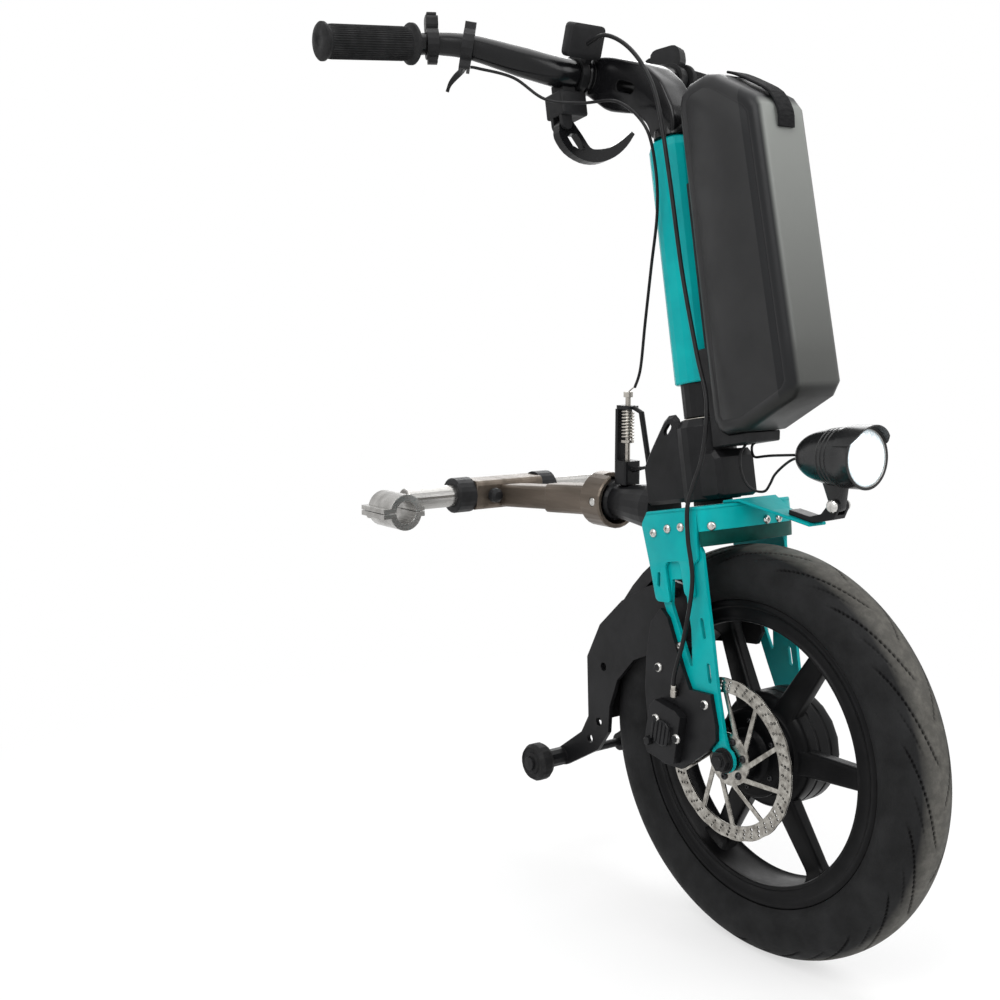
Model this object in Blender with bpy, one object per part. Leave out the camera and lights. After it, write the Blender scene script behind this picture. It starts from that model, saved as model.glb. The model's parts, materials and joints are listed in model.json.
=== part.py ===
# Front-wheel power unit that docks to a wheelchair: fork, hub-motor wheel, disc brake,
# steered column with battery and handlebar, tilting head with a docking arm and two frame clamps.
# Metres. World origin: middle of the docking crossbar. +X forward, +Y to the rider's left, +Z up.
# The steered pieces are drawn in the steering frame: X forward from the axis, Z up along the axis.

import math

import bmesh
import bpy
from mathutils import Matrix, Vector

GAP = 0.0003
SINK = 0.0005

# Whole unit, docked
WHEEL_HEIGHT = 0.205
CROSSBAR_BACK = 0.455
CROSSBAR_HEIGHT = 0.415
RAKE = math.radians(10.76)
STEER_BACK = 0.0821
STEER_HEIGHT = 0.441
TRAIL = 0.0366
AXLE_DROP = 0.2472

# Wheel
TYRE_RADIUS = 0.205
TYRE_WIDTH = 0.064
TYRE_DEPTH = 0.060
TYRE_WALL = 0.006
BEAD_RADIUS = 0.1525
RIM_LIP = 0.0055
RIM_OPENING = 0.1300
RIM_WELL = 0.1400
RIM_WALL = 0.0050
SPOKES = 6
SPOKE_ROOT = 0.027
SPOKE_TIP = 0.021
SPOKE_THICK = 0.018
SPOKE_DISH = 0.010
HUB_RADIUS = 0.058
HUB_NEAR_RADIUS = 0.044
HUB_FAR = 0.041
HUB_NEAR = 0.026
COVER_THICK = 0.006
AXLE_RADIUS = 0.006
AXLE_NUT = 0.0105
AXLE_NUT_HIGH = 0.0080
AXLE_OVERHANG = 0.0110
WASHER_RADIUS = 0.0126
WASHER_THICK = 0.0016
ROTOR_RADIUS = 0.080
ROTOR_BAND = 0.0145
ROTOR_THICK = 0.0020
ROTOR_PLANE = -0.0527
ROTOR_ARMS = 10
ROTOR_HOLES = 20
ROTOR_HOLE = 0.0026
ROTOR_CARRIER = 0.026

# Fork
LEG_INNER = 0.0557
LEG_THICK = 0.0040
LEG_END = 0.0130
CROWN_WALL = 0.0040
CROWN_BACK = -0.041
CROWN_FRONT = 0.041
CROWN_BULGE = 0.019
CROWN_SKIRT = 0.026
CROWN_LIP = 0.010
CROWN_LIP_IN = 0.005
CROWN_CORNER = 0.009
CROWN_SCREW = 0.0040
CROWN_SCREWS = ((-0.0234, -0.0220), (-0.0023, -0.0190), (0.0169, -0.0185))
CROWN_TOP_THICK = 0.005
CROWN_SIDE = 0.052
TONGUE_DROP = 0.091
STEERER_RADIUS = 0.0165
STEERER_TOP = 0.165

# Head and latch
HEAD_RADIUS = 0.030
HEAD_TOP = 0.088
HEAD_BASE = 0.0045
HEAD_HALF = 0.027
LUG_THICK = 0.0050
LUG_ROOT = 0.0640
BEARING_OUTER = 0.0215
BEARING_HEIGHT = 0.0085
BALL_BACK = 0.240
BALL_HEIGHT = 0.428
BALL_RADIUS = 0.0235
NECK_RADIUS = 0.0190
PIVOT_PIN = 0.0050
LATCH_BACK = 0.216
LATCH_TOP = 0.541
LATCH_BASE = 0.4525
LATCH_ROD = 0.0030
SPRING_RADIUS = 0.0062
SPRING_WIRE = 0.0011
SPRING_TURNS = 9
SPRING_LOW = 0.4975
SPRING_HIGH = 0.5295

# Docking arm and crossbar
CUP_RADIUS = 0.031
CUP_BORE = 0.0262
CUP_MOUTH = 0.229
CUP_DEPTH = 0.0375
NOTCH_HALF = 0.0120
ARM_TILT = math.radians(4.5)
ARM_TALL = 0.034
ARM_WIDE = 0.036
ARM_WALL = 0.0028
ARM_STEP_BACK = 0.341
HUB_HALF = 0.050
HUB_TALL = 0.036
HUB_DEEP = 0.040
SLEEVE_END = 0.075
SLEEVE_RADIUS = 0.0215
SIDE_TUBE_RADIUS = 0.0135
CLAMP_SIDE = 0.155
CLAMP_DROP = 0.011
CLAMP_BORE = 0.0135
CLAMP_OUTER = 0.0215
CLAMP_LENGTH = 0.052
CLAMP_LIP_THICK = 0.0059
CLAMP_SPLIT = 0.0006
JAW_ROOM = 0.0075

# Column and battery
COLUMN_LOW = 0.125
COLUMN_HIGH = 0.378
COLUMN_WIDE = 0.044
COLUMN_DEEP = 0.050
COLUMN_SOCKET = 0.0435
BATTERY_BACK = 0.0435
BATTERY_HALF = 0.034
BATTERY_FRONT_TOP = 0.1480
BATTERY_FRONT_LOW = 0.1565
BATTERY_LOW = 0.0665
BATTERY_HIGH = 0.4130
BATTERY_CHAMFER = 0.072
RAIL_HALF = 0.014
STRAP_WIDE = 0.022
STRAP_THICK = 0.0026
STRAP_SLACK = 0.0028

# Stem and handlebar
STEM_HALF = 0.018
BAR_CENTRE_RADIUS = 0.0159
BAR_END_RADIUS = 0.0111
BAR_STEPS = 3
BAR_SIDES = 12
BAR_CLAMP = (-0.1057, 0.4771)
STEM_CLAMP_RADIUS = 0.0205
GRIP_INNER = 0.192
GRIP_OUTER = 0.300
GRIP_RADIUS = 0.0170
GRIP_FLANGE = 0.0215

# Controls
DISPLAY_CENTRE = (-0.0680, -0.0410, 0.4980)
DISPLAY_TILT = math.radians(27)
DISPLAY_WIDE = 0.044
DISPLAY_TALL = 0.034
DISPLAY_THICK = 0.013
BOX_LOW = 0.4300
BOX_HIGH = 0.4565
BOX_BACK = -0.1270
BOX_FRONT = -0.0970
BOX_LEFT = -0.0600
BOX_RIGHT = -0.0250
LEVER_PIVOT = (-0.0520, 0.4220)
LEVER_PIN = 0.0025
LEVER_HALF = 0.0050
LEVER_MIDDLE = -0.1110
TRIGGER_AT = 0.140
SWITCH_AT = 0.172
THROTTLE_AT = 0.172

# Headlight
LAMP_AXIS_LOW = math.radians(7.9)
LAMP_BACK = (0.1243, 0.0375)
LAMP_LENGTH = 0.0765
LAMP_RADIUS = 0.0285
LAMP_BACK_RADIUS = 0.0095
LAMP_WALL = 0.0022
LENS_SET_BACK = 0.0060
LAMP_BOLT = 0.0026
LAMP_EAR = 0.0062
VISOR_REACH = 0.0065
LAMP_PIVOT = (0.1610, -0.0130)
TONGUE_HALF = 0.012
TONGUE_THICK = 0.0030

# Caliper
CALIPER_TURN = math.radians(-160)
CALIPER_OUT = 0.0750
CALIPER_IN = 0.0400
PAD_THICK = 0.0026
PAD_GAP = 0.0004
BRACKET_THICK = 0.0050
MOUNT_SCREW = 0.0048

# Stand and guard
STAND_PLATE = 0.0405
STAND_THICK = 0.0050
ROLLER_RADIUS = 0.021
ROLLER_TRACK = 0.080
ROLLER_WIDE = 0.020
ROLLER_BACK = 0.271
ROLLER_HEIGHT = 0.131
STAND_AXLE = 0.0050
STAND_BOSSES = ((-0.0068, -0.1370), (-0.0205, -0.0850))
STAND_HOLE = 0.0050
STAND_HOLES = ((-0.1990, 0.2520), (-0.2060, 0.1880), (-0.2210, 0.1650))
GUARD_RADIUS = 0.2135
GUARD_THICK = 0.0030
GUARD_HALF = 0.0365

for leftover in list(bpy.data.objects):
    bpy.data.objects.remove(leftover, do_unlink=True)


# Materials

def principled(name, color, roughness, metallic=0.0, alpha=1.0):
    material = bpy.data.materials.new(name)
    material.use_nodes = True
    shader = material.node_tree.nodes["Principled BSDF"]
    shader.inputs["Base Color"].default_value = (*color, 1.0)
    shader.inputs["Roughness"].default_value = roughness
    shader.inputs["Metallic"].default_value = metallic
    shader.inputs["Alpha"].default_value = alpha
    material.diffuse_color = (*color, alpha)
    return material


TEAL = ("teal_paint", (0.0, 0.51, 0.54), 0.35, 0.0)
BLACK_PAINT = ("black_paint", (0.020, 0.020, 0.022), 0.45, 0.0)
BLACK_PLASTIC = ("black_plastic", (0.028, 0.028, 0.030), 0.55, 0.0)
CASE = ("battery_shell", (0.060, 0.060, 0.060), 0.42, 0.0)
BRONZE = ("bronze_anodised", (0.205, 0.160, 0.125), 0.38, 0.7)
SILVER = ("bright_alloy", (0.66, 0.64, 0.60), 0.30, 0.9)
STEEL = ("brushed_steel", (0.56, 0.53, 0.48), 0.32, 1.0)
RUBBER = ("soft_rubber", (0.030, 0.030, 0.031), 0.75, 0.0)
TREAD = ("tyre_rubber", (0.024, 0.024, 0.025), 0.80, 0.0)
LENS = ("lamp_lens", (0.86, 0.90, 0.93), 0.08, 0.0)


# Frames

def empty(name, parent=None, location=(0, 0, 0), tilt=0.0):
    marker = bpy.data.objects.new(name, None)
    bpy.context.collection.objects.link(marker)
    marker.empty_display_size = 0.02
    marker.parent = parent
    marker.location = location
    marker.rotation_euler = (0.0, tilt, 0.0)
    return marker


unit = empty("unit_frame", None, (CROSSBAR_BACK, 0.0, -CROSSBAR_HEIGHT))
arm_frame = empty("arm_slide_axis", unit)
head_frame = empty("dock_tilt_axis", arm_frame, (-BALL_BACK, 0.0, BALL_HEIGHT))
steer_frame = empty("steering_axis", head_frame,
                    (BALL_BACK - STEER_BACK, 0.0, STEER_HEIGHT - BALL_HEIGHT), -RAKE)
wheel_frame = empty("wheel_axis", steer_frame, (TRAIL, 0.0, -AXLE_DROP), RAKE)


def to_steer(x, z):
    """Point of the docked frame (x, z) in the steering frame."""
    dx = x + STEER_BACK
    dz = z - STEER_HEIGHT
    return (dx * math.cos(RAKE) + dz * math.sin(RAKE),
            -dx * math.sin(RAKE) + dz * math.cos(RAKE))


# Shapes

def outward(bm):
    """Faces turned the same way round, pointing out of the solid."""
    bmesh.ops.recalc_face_normals(bm, faces=bm.faces)
    if bm.calc_volume(signed=True) < 0.0:
        bmesh.ops.reverse_faces(bm, faces=bm.faces)
    return bm


def prism(points, low, high, plane="XZ"):
    """Closed outline pushed from low to high, square to its plane."""
    bm = bmesh.new()
    build = {"XZ": lambda a, b, t: (a, t, b),
             "XY": lambda a, b, t: (a, b, t),
             "YZ": lambda a, b, t: (t, a, b)}[plane]
    first = [bm.verts.new(build(a, b, low)) for a, b in points]
    last = [bm.verts.new(build(a, b, high)) for a, b in points]
    count = len(points)
    for i in range(count):
        j = (i + 1) % count
        bm.faces.new((first[i], first[j], last[j], last[i]))
    bm.faces.new(first)
    bm.faces.new(list(reversed(last)))
    return outward(bm)


def box(x0, x1, y0, y1, z0, z1):
    return prism([(x0, z0), (x1, z0), (x1, z1), (x0, z1)], y0, y1)


def turned(profile, segments=32, axis="Z", start=0.0, sweep=2 * math.pi):
    """Outline of (radius, height) points spun about an axis; part turns are capped."""
    bm = bmesh.new()
    whole = abs(sweep - 2 * math.pi) < 1e-9
    place = {"Z": lambda r, h, a: (r * math.cos(a), r * math.sin(a), h),
             "Y": lambda r, h, a: (r * math.cos(a), h, r * math.sin(a)),
             "X": lambda r, h, a: (h, r * math.cos(a), r * math.sin(a))}[axis]
    on_axis = [r < 1e-9 for r, h in profile]
    closed = not any(on_axis)
    poles = [bm.verts.new(place(0.0, h, 0.0)) if flat else None
             for (r, h), flat in zip(profile, on_axis)]
    steps = segments if whole else segments + 1
    rings = []
    for i in range(steps):
        angle = start + sweep * i / segments
        rings.append([poles[k] if flat else bm.verts.new(place(r, h, angle))
                      for k, ((r, h), flat) in enumerate(zip(profile, on_axis))])
    edges = len(profile) if closed else len(profile) - 1
    for i in range(segments):
        a = rings[i]
        b = rings[(i + 1) % steps]
        for k in range(edges):
            m = (k + 1) % len(profile)
            loop = []
            for vert in (a[k], a[m], b[m], b[k]):
                if vert not in loop:
                    loop.append(vert)
            if len(loop) > 2:
                bm.faces.new(loop)
    if not whole:
        bm.faces.new(rings[0])
        bm.faces.new(list(reversed(rings[-1])))
    return outward(bm)


def rod(radius, low, high, segments=20, axis="Z", bevel=0.0):
    if bevel <= 0.0:
        return turned([(0, low), (radius, low), (radius, high), (0, high)], segments, axis)
    return turned([(0, low), (radius - bevel, low), (radius, low + bevel), (radius, high - bevel),
                   (radius - bevel, high), (0, high)], segments, axis)


def ring(inner, outer, low, high, segments=32, axis="Z"):
    return turned([(inner, low), (outer, low), (outer, high), (inner, high)], segments, axis)


def loft(sections):
    """Rings of points joined in order, both ends capped."""
    bm = bmesh.new()
    rings = [[bm.verts.new(p) for p in section] for section in sections]
    count = len(rings[0])
    for a, b in zip(rings, rings[1:]):
        for i in range(count):
            j = (i + 1) % count
            bm.faces.new((a[i], a[j], b[j], b[i]))
    bm.faces.new(rings[0])
    bm.faces.new(list(reversed(rings[-1])))
    return outward(bm)


def smooth_path(points, per_span=6):
    """Catmull-Rom curve through the points."""
    pts = [Vector(p) for p in points]
    pts = [2 * pts[0] - pts[1]] + pts + [2 * pts[-1] - pts[-2]]
    out = []
    for i in range(1, len(pts) - 2):
        p0, p1, p2, p3 = pts[i - 1:i + 3]
        for k in range(per_span):
            t = k / per_span
            out.append(0.5 * ((2 * p1) + (p2 - p0) * t + (2 * p0 - 5 * p1 + 4 * p2 - p3) * t * t
                              + (3 * p1 - p0 - 3 * p2 + p3) * t ** 3))
    out.append(pts[-2].copy())
    return out


def pipe(points, radii, segments=16):
    """Round bar of varying radius along a path."""
    path = [Vector(p) for p in points]
    sections = []
    side = None
    for i, here in enumerate(path):
        ahead = path[min(i + 1, len(path) - 1)]
        behind = path[max(i - 1, 0)]
        along = (ahead - behind).normalized()
        if side is None:
            guide = Vector((0, 0, 1)) if abs(along.z) < 0.9 else Vector((1, 0, 0))
            side = along.cross(guide).normalized()
        side = (side - along * side.dot(along)).normalized()
        up = side.cross(along)
        sections.append([here + radii[i] * (side * math.cos(2 * math.pi * k / segments)
                                            + up * math.sin(2 * math.pi * k / segments))
                         for k in range(segments)])
    return loft(sections)


def rounded(wide, deep, radius, steps=4, cx=0.0, cy=0.0):
    """Outline of a rectangle with round corners."""
    points = []
    for sx, sy, base in ((1, 1, 0), (-1, 1, 90), (-1, -1, 180), (1, -1, 270)):
        for k in range(steps + 1):
            angle = math.radians(base + 90 * k / steps)
            points.append((cx + sx * (wide / 2 - radius) + radius * math.cos(angle),
                           cy + sy * (deep / 2 - radius) + radius * math.sin(angle)))
    return points


def arc(cx, cy, radius, start, end, steps):
    """Points along an arc, angles in degrees."""
    return [(cx + radius * math.cos(math.radians(start + (end - start) * k / steps)),
             cy + radius * math.sin(math.radians(start + (end - start) * k / steps)))
            for k in range(steps + 1)]


def slot_outline(cx, cy, length, width, tilt, steps=4):
    """Outline of a slot with round ends; length end to end, tilt in degrees from the first axis."""
    half = (length - width) / 2
    points = arc(half, 0, width / 2, -90, 90, steps) + arc(-half, 0, width / 2, 90, 270, steps)
    c = math.cos(math.radians(tilt))
    s = math.sin(math.radians(tilt))
    return [(cx + x * c - y * s, cy + x * s + y * c) for x, y in points]


def moved(bm, matrix):
    bm.transform(matrix)
    return bm


def joined(*parts):
    whole = bmesh.new()
    for bm in parts:
        mesh = bpy.data.meshes.new("joined")
        bm.to_mesh(mesh)
        bm.free()
        whole.from_mesh(mesh)
        bpy.data.meshes.remove(mesh)
    return whole


def mirrored(bm):
    """Copy on the other side of the middle plane."""
    twin = bm.copy()
    twin.transform(Matrix.Scale(-1.0, 4, (0, 1, 0)))
    bmesh.ops.reverse_faces(twin, faces=twin.faces)
    return twin


def temporary(bm):
    mesh = bpy.data.meshes.new("tool")
    bm.to_mesh(mesh)
    bm.free()
    tool = bpy.data.objects.new("tool", mesh)
    bpy.context.collection.objects.link(tool)
    return tool


def combine(bm, *others, operation="DIFFERENCE"):
    """Boolean of one shape with others, worked out at once."""
    body = temporary(bm)
    for other in others:
        tool = temporary(other)
        modifier = body.modifiers.new("cut", "BOOLEAN")
        modifier.operation = operation
        modifier.solver = "EXACT"
        modifier.object = tool
        bpy.context.view_layer.update()
        result = bpy.data.meshes.new_from_object(body.evaluated_get(bpy.context.evaluated_depsgraph_get()))
        body.modifiers.clear()
        old = body.data
        body.data = result
        bpy.data.meshes.remove(old)
        bpy.data.objects.remove(tool, do_unlink=True)
    out = bmesh.new()
    out.from_mesh(body.data)
    bpy.data.objects.remove(body, do_unlink=True)
    bmesh.ops.remove_doubles(out, verts=out.verts, dist=1e-6)
    return out


def cut(bm, *others):
    return combine(bm, *others)


def fuse(bm, *others):
    return combine(bm, *others, operation="UNION")


def solid(name, bm, finish, parent, pivot=None, bevel=0.0, angle=40.0, segments=1):
    """Object from a shape drawn in its parent's frame; pivot moves its origin onto its own axis."""
    label, color, roughness, metallic = finish
    mesh = bpy.data.meshes.new(name)
    if pivot is not None:
        bm.transform(Matrix.Translation(-Vector(pivot)))
    outward(bm)
    bm.to_mesh(mesh)
    bm.free()
    mesh.shade_smooth()
    mesh.set_sharp_from_angle(angle=math.radians(35))
    mesh.materials.append(principled(name + "_" + label, color, roughness, metallic))
    piece = bpy.data.objects.new(name, mesh)
    bpy.context.collection.objects.link(piece)
    piece.parent = parent
    if pivot is not None:
        piece.location = pivot
    if bevel > 0.0:
        modifier = piece.modifiers.new("bevel", "BEVEL")
        modifier.width = bevel
        modifier.segments = segments
        modifier.limit_method = "ANGLE"
        modifier.angle_limit = math.radians(angle)
        modifier.use_clamp_overlap = True
    return piece


def button_head(radius, height, x, y, z, axis="Y", away=1.0, segments=10):
    """Screw head seated on a face, standing out along the axis."""
    shape = turned([(0, 0), (radius, 0), (radius, height * 0.55), (radius * 0.7, height), (0, height)], segments, "Z")
    turn = {("Y", 1.0): Matrix.Rotation(-math.pi / 2, 4, "X"), ("Y", -1.0): Matrix.Rotation(math.pi / 2, 4, "X"),
            ("Z", 1.0): Matrix.Identity(4), ("Z", -1.0): Matrix.Rotation(math.pi, 4, "X"),
            ("X", 1.0): Matrix.Rotation(math.pi / 2, 4, "Y"), ("X", -1.0): Matrix.Rotation(-math.pi / 2, 4, "Y")}
    return moved(shape, Matrix.Translation((x, y, z)) @ turn[(axis, away)])


def cord(name, points, radius, finish, parent, step):
    """Cable as a bevelled curve through evenly spaced points of a smooth route."""
    route = smooth_path(points, 24)
    even = [route[0]]
    run = 0.0
    for a, b in zip(route, route[1:]):
        run += (b - a).length
        if run >= step:
            even.append(b)
            run = 0.0
    if (even[-1] - route[-1]).length > step * 0.4:
        even.append(route[-1])
    else:
        even[-1] = route[-1]
    curve = bpy.data.curves.new(name, "CURVE")
    curve.dimensions = "3D"
    curve.bevel_depth = radius
    curve.bevel_resolution = 2
    curve.use_fill_caps = True
    spline = curve.splines.new("POLY")
    spline.points.add(len(even) - 1)
    for point, place in zip(spline.points, even):
        point.co = (*place, 1.0)
    label, color, roughness, metallic = finish
    curve.materials.append(principled(name + "_" + label, color, roughness, metallic))
    piece = bpy.data.objects.new(name, curve)
    bpy.context.collection.objects.link(piece)
    piece.parent = parent
    length = sum((b - a).length for a, b in zip(even, even[1:]))
    print(name, "length", round(length, 4), "points", len(even))
    return piece


# Wheel: drawn in the wheel's own frame, axle along Y

def tyre_section():
    half = TYRE_WIDTH / 2
    mid = TYRE_RADIUS - TYRE_DEPTH / 2
    outer = []
    inner = []
    steps = 10
    for k in range(steps + 1):
        angle = math.radians(-47 + 274 * k / steps)
        ca = math.cos(angle)
        sa = math.sin(angle)
        y = half * math.copysign(abs(ca) ** 0.91, ca)
        r = mid + TYRE_DEPTH / 2 * math.copysign(abs(sa) ** 0.91, sa)
        outer.append((r, y))
        y_in = (half - TYRE_WALL) * math.copysign(abs(ca) ** 0.91, ca)
        r_in = mid + (TYRE_DEPTH / 2 - TYRE_WALL) * math.copysign(abs(sa) ** 0.91, sa)
        if k % 2 == 0:
            inner.append((r_in, y_in))
    return outer + list(reversed(inner))


bead_half = min(abs(tyre_section()[0][1]), abs(tyre_section()[10][1]))
solid("tyre", turned(tyre_section(), 40, "Y"), TREAD, wheel_frame)

rim_seat = min(r for r, y in tyre_section()) - GAP
rim_half = bead_half - TYRE_WALL - GAP
rim_out = bead_half + 0.0008
rim_profile = [(RIM_OPENING, -rim_out), (rim_seat, -rim_out), (rim_seat, -rim_half * 0.30),
               (rim_seat - 0.006, -rim_half * 0.16), (rim_seat - 0.006, rim_half * 0.16),
               (rim_seat, rim_half * 0.30), (rim_seat, rim_out), (RIM_OPENING, rim_out),
               (RIM_OPENING + 0.0035, rim_out * 0.55), (RIM_OPENING + 0.0035, -rim_out * 0.55)]
hub_profile = [(HUB_NEAR_RADIUS * 0.55, -HUB_NEAR), (HUB_NEAR_RADIUS, -HUB_NEAR + 0.006),
               (HUB_NEAR_RADIUS, -0.008), (HUB_RADIUS - 0.006, -0.004), (HUB_RADIUS, 0.002),
               (HUB_RADIUS, HUB_FAR - 0.004), (HUB_RADIUS - 0.004, HUB_FAR),
               (AXLE_RADIUS + GAP, HUB_FAR), (AXLE_RADIUS + GAP, ROTOR_PLANE + ROTOR_THICK / 2 + GAP),
               (ROTOR_CARRIER - 0.004, ROTOR_PLANE + ROTOR_THICK / 2 + GAP),
               (ROTOR_CARRIER - 0.004, -HUB_NEAR - 0.006)]


def spoke(angle):
    """Tapered spoke, oval in section, dished from the hub to the rim."""
    sections = []
    for t in (0.0, 0.72, 1.0):
        r = 0.040 + (RIM_OPENING + 0.002 - 0.040) * t
        wide = SPOKE_ROOT + (SPOKE_TIP - SPOKE_ROOT) * t
        wide += 0.008 * max(0.0, t - 0.75) * 4
        y = SPOKE_DISH * t
        deep = SPOKE_THICK * (1.0 - 0.12 * t)
        outline = rounded(wide, deep, 0.0055, 1)
        sections.append([(r, y + b, a) for a, b in outline])
    return moved(loft(sections), Matrix.Rotation(-angle, 4, "Y"))


rim = turned(rim_profile, 40, "Y")
hub = turned(hub_profile, 22, "Y")
wheel = fuse(rim, hub, *[spoke(2 * math.pi * k / SPOKES) for k in range(SPOKES)])
solid("cast_wheel", wheel, BLACK_PAINT, wheel_frame)

cover_face = HUB_FAR + GAP
hub_cover = turned([(AXLE_RADIUS + GAP, cover_face), (HUB_RADIUS - 0.004, cover_face),
                           (HUB_RADIUS - 0.004, cover_face + 0.003), (HUB_RADIUS - 0.010, cover_face + COVER_THICK),
                           (AXLE_RADIUS + 0.010, cover_face + COVER_THICK),
                           (AXLE_RADIUS + GAP, cover_face + COVER_THICK - 0.002)], 20, "Y")


def rotor_shape():
    """Perforated band carried by slanted arms on a toothed carrier."""
    low = ROTOR_PLANE - ROTOR_THICK / 2
    high = ROTOR_PLANE + ROTOR_THICK / 2
    inner = ROTOR_RADIUS - ROTOR_BAND
    band = ring(inner, ROTOR_RADIUS, low, high, 36, "Y")
    carrier = ring(AXLE_RADIUS + 2 * GAP + 0.0004, ROTOR_CARRIER, low, high, 16, "Y")
    arms = []
    slant = math.radians(24)
    for k in range(ROTOR_ARMS):
        base = 2 * math.pi * k / ROTOR_ARMS
        root = (ROTOR_CARRIER - 0.002) * Vector((math.cos(base), math.sin(base)))
        tip = (inner + 0.002) * Vector((math.cos(base + slant), math.sin(base + slant)))
        along = (tip - root).normalized()
        across = Vector((-along.y, along.x))
        half = 0.0021
        arms.append(prism([tuple(root - across * half * 1.5), tuple(tip - across * half),
                           tuple(tip + across * half), tuple(root + across * half * 1.5)], low, high))
    holes = []
    for k in range(ROTOR_HOLES):
        angle = 2 * math.pi * k / ROTOR_HOLES
        r = ROTOR_RADIUS - ROTOR_BAND * (0.32 if k % 2 else 0.66)
        outline = [(r * math.cos(angle) + ROTOR_HOLE * math.cos(math.radians(60 * m)),
                    r * math.sin(angle) + ROTOR_HOLE * math.sin(math.radians(60 * m))) for m in range(6)]
        holes.append(prism(outline, low - 0.001, high + 0.001))
    whole = fuse(band, carrier, *arms)
    return cut(whole, joined(*holes))


solid("brake_rotor", rotor_shape(), STEEL, wheel_frame)
solid("hub_cover", hub_cover, BLACK_PLASTIC, wheel_frame)


# Fork, in the steering frame

leg_outer = LEG_INNER + LEG_THICK
flange_in = leg_outer + GAP
flange_out = flange_in + CROWN_WALL


def crown_shape():
    turns = [math.pi / 2 * k / 6 for k in range(-6, 7)]
    bulge = [(CROWN_FRONT + CROWN_BULGE * math.cos(a), flange_out * math.sin(a)) for a in turns]
    lip = [(CROWN_FRONT + (CROWN_BULGE - CROWN_LIP_IN) * math.cos(a), flange_out * math.sin(a)) for a in turns]
    plan = [(CROWN_BACK + CROWN_CORNER, -flange_out)] + bulge + [(CROWN_BACK + CROWN_CORNER, flange_out)]
    top = prism(plan, -CROWN_TOP_THICK, 0.0, "XY")
    walls = []
    for curve, h in ((bulge, -CROWN_TOP_THICK / 2), (bulge, -CROWN_SKIRT), (lip, -CROWN_SKIRT - CROWN_LIP)):
        inside = [(x - CROWN_WALL, y * flange_in / flange_out, h) for x, y in reversed(curve)]
        walls.append([(x, y, h) for x, y in curve] + inside)
    skirt = loft(walls)
    side = [(CROWN_BACK + CROWN_CORNER, -CROWN_TOP_THICK / 2), (CROWN_BACK, -0.012), (-0.0355, -CROWN_SIDE),
            (-0.0320, -TONGUE_DROP + 0.003), (-0.0290, -TONGUE_DROP), (-0.0135, -TONGUE_DROP - 0.002),
            (-0.0110, -TONGUE_DROP), (-0.0125, -CROWN_SIDE - 0.004), (-0.0090, -CROWN_SIDE),
            (0.0070, -CROWN_SIDE), (0.0098, -CROWN_SIDE - 0.004), (0.0108, -TONGUE_DROP + 0.008),
            (0.0135, -TONGUE_DROP + 0.004), (0.0215, -TONGUE_DROP + 0.002), (0.0243, -TONGUE_DROP + 0.005),
            (0.0262, -CROWN_SIDE - 0.004), (0.0345, -CROWN_SIDE), (CROWN_FRONT, -CROWN_TOP_THICK / 2)]
    near = prism(side, -flange_out, -flange_in)
    near = cut(near, prism(slot_outline(-0.0240, -0.0690, 0.0150, 0.0042, 80), -flange_out - 0.001, -flange_in + 0.001))
    far = mirrored(near)
    boss = rod(0.027, -CROWN_TOP_THICK - 0.004, -CROWN_TOP_THICK / 2, 16)
    screws = []
    for g, h in CROWN_SCREWS:
        for side_y, away in ((-flange_out + SINK, -1.0), (flange_out - SINK, 1.0)):
            screws.append(button_head(CROWN_SCREW, 0.0028, g, side_y, h, "Y", away, 6))
    return fuse(top, skirt, near, far, boss, *screws)


solid("fork_crown", crown_shape(), TEAL, steer_frame)


def leg_shape():
    drop = AXLE_DROP
    outline = [(-0.0315, -0.0130), (0.0362, -0.0130), (0.0362, -0.0400), (0.0385, -0.0440), (0.0385, -0.0850),
               (0.0388, -0.1330), (0.0384, -0.1800), (0.0405, -0.2250)]
    outline += arc(TRAIL, -drop, LEG_END, 60, -190, 10)
    outline += [(0.0130, -0.2180), (0.0040, -0.1980), (-0.0040, -0.1700), (-0.0225, -0.1000), (-0.0345, -0.0560)]
    plate = prism(outline, -leg_outer, -LEG_INNER)
    window = prism([(-0.0085, -0.0700), (0.0060, -0.0700), (0.0095, -0.0850), (0.0110, -0.1200),
                    (0.0068, -0.1560), (0.0040, -0.1560), (-0.0135, -0.0950)],
                   -leg_outer - 0.001, -LEG_INNER + 0.001)
    upper = prism(slot_outline(0.0275, -0.1190, 0.0210, 0.0044, 94), -leg_outer - 0.001, -LEG_INNER + 0.001)
    lower = prism(slot_outline(0.0290, -0.1630, 0.0200, 0.0044, 91), -leg_outer - 0.001, -LEG_INNER + 0.001)
    hole = moved(rod(AXLE_RADIUS + GAP, -leg_outer - 0.001, -LEG_INNER + 0.001, 14, "Y"),
                 Matrix.Translation((TRAIL, 0, -drop)))
    return cut(plate, window, upper, lower, hole)


right_leg = leg_shape()
left_leg = mirrored(right_leg)
solid("fork_leg_right", right_leg, TEAL, steer_frame)
solid("fork_leg_left", left_leg, TEAL, steer_frame)

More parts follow.
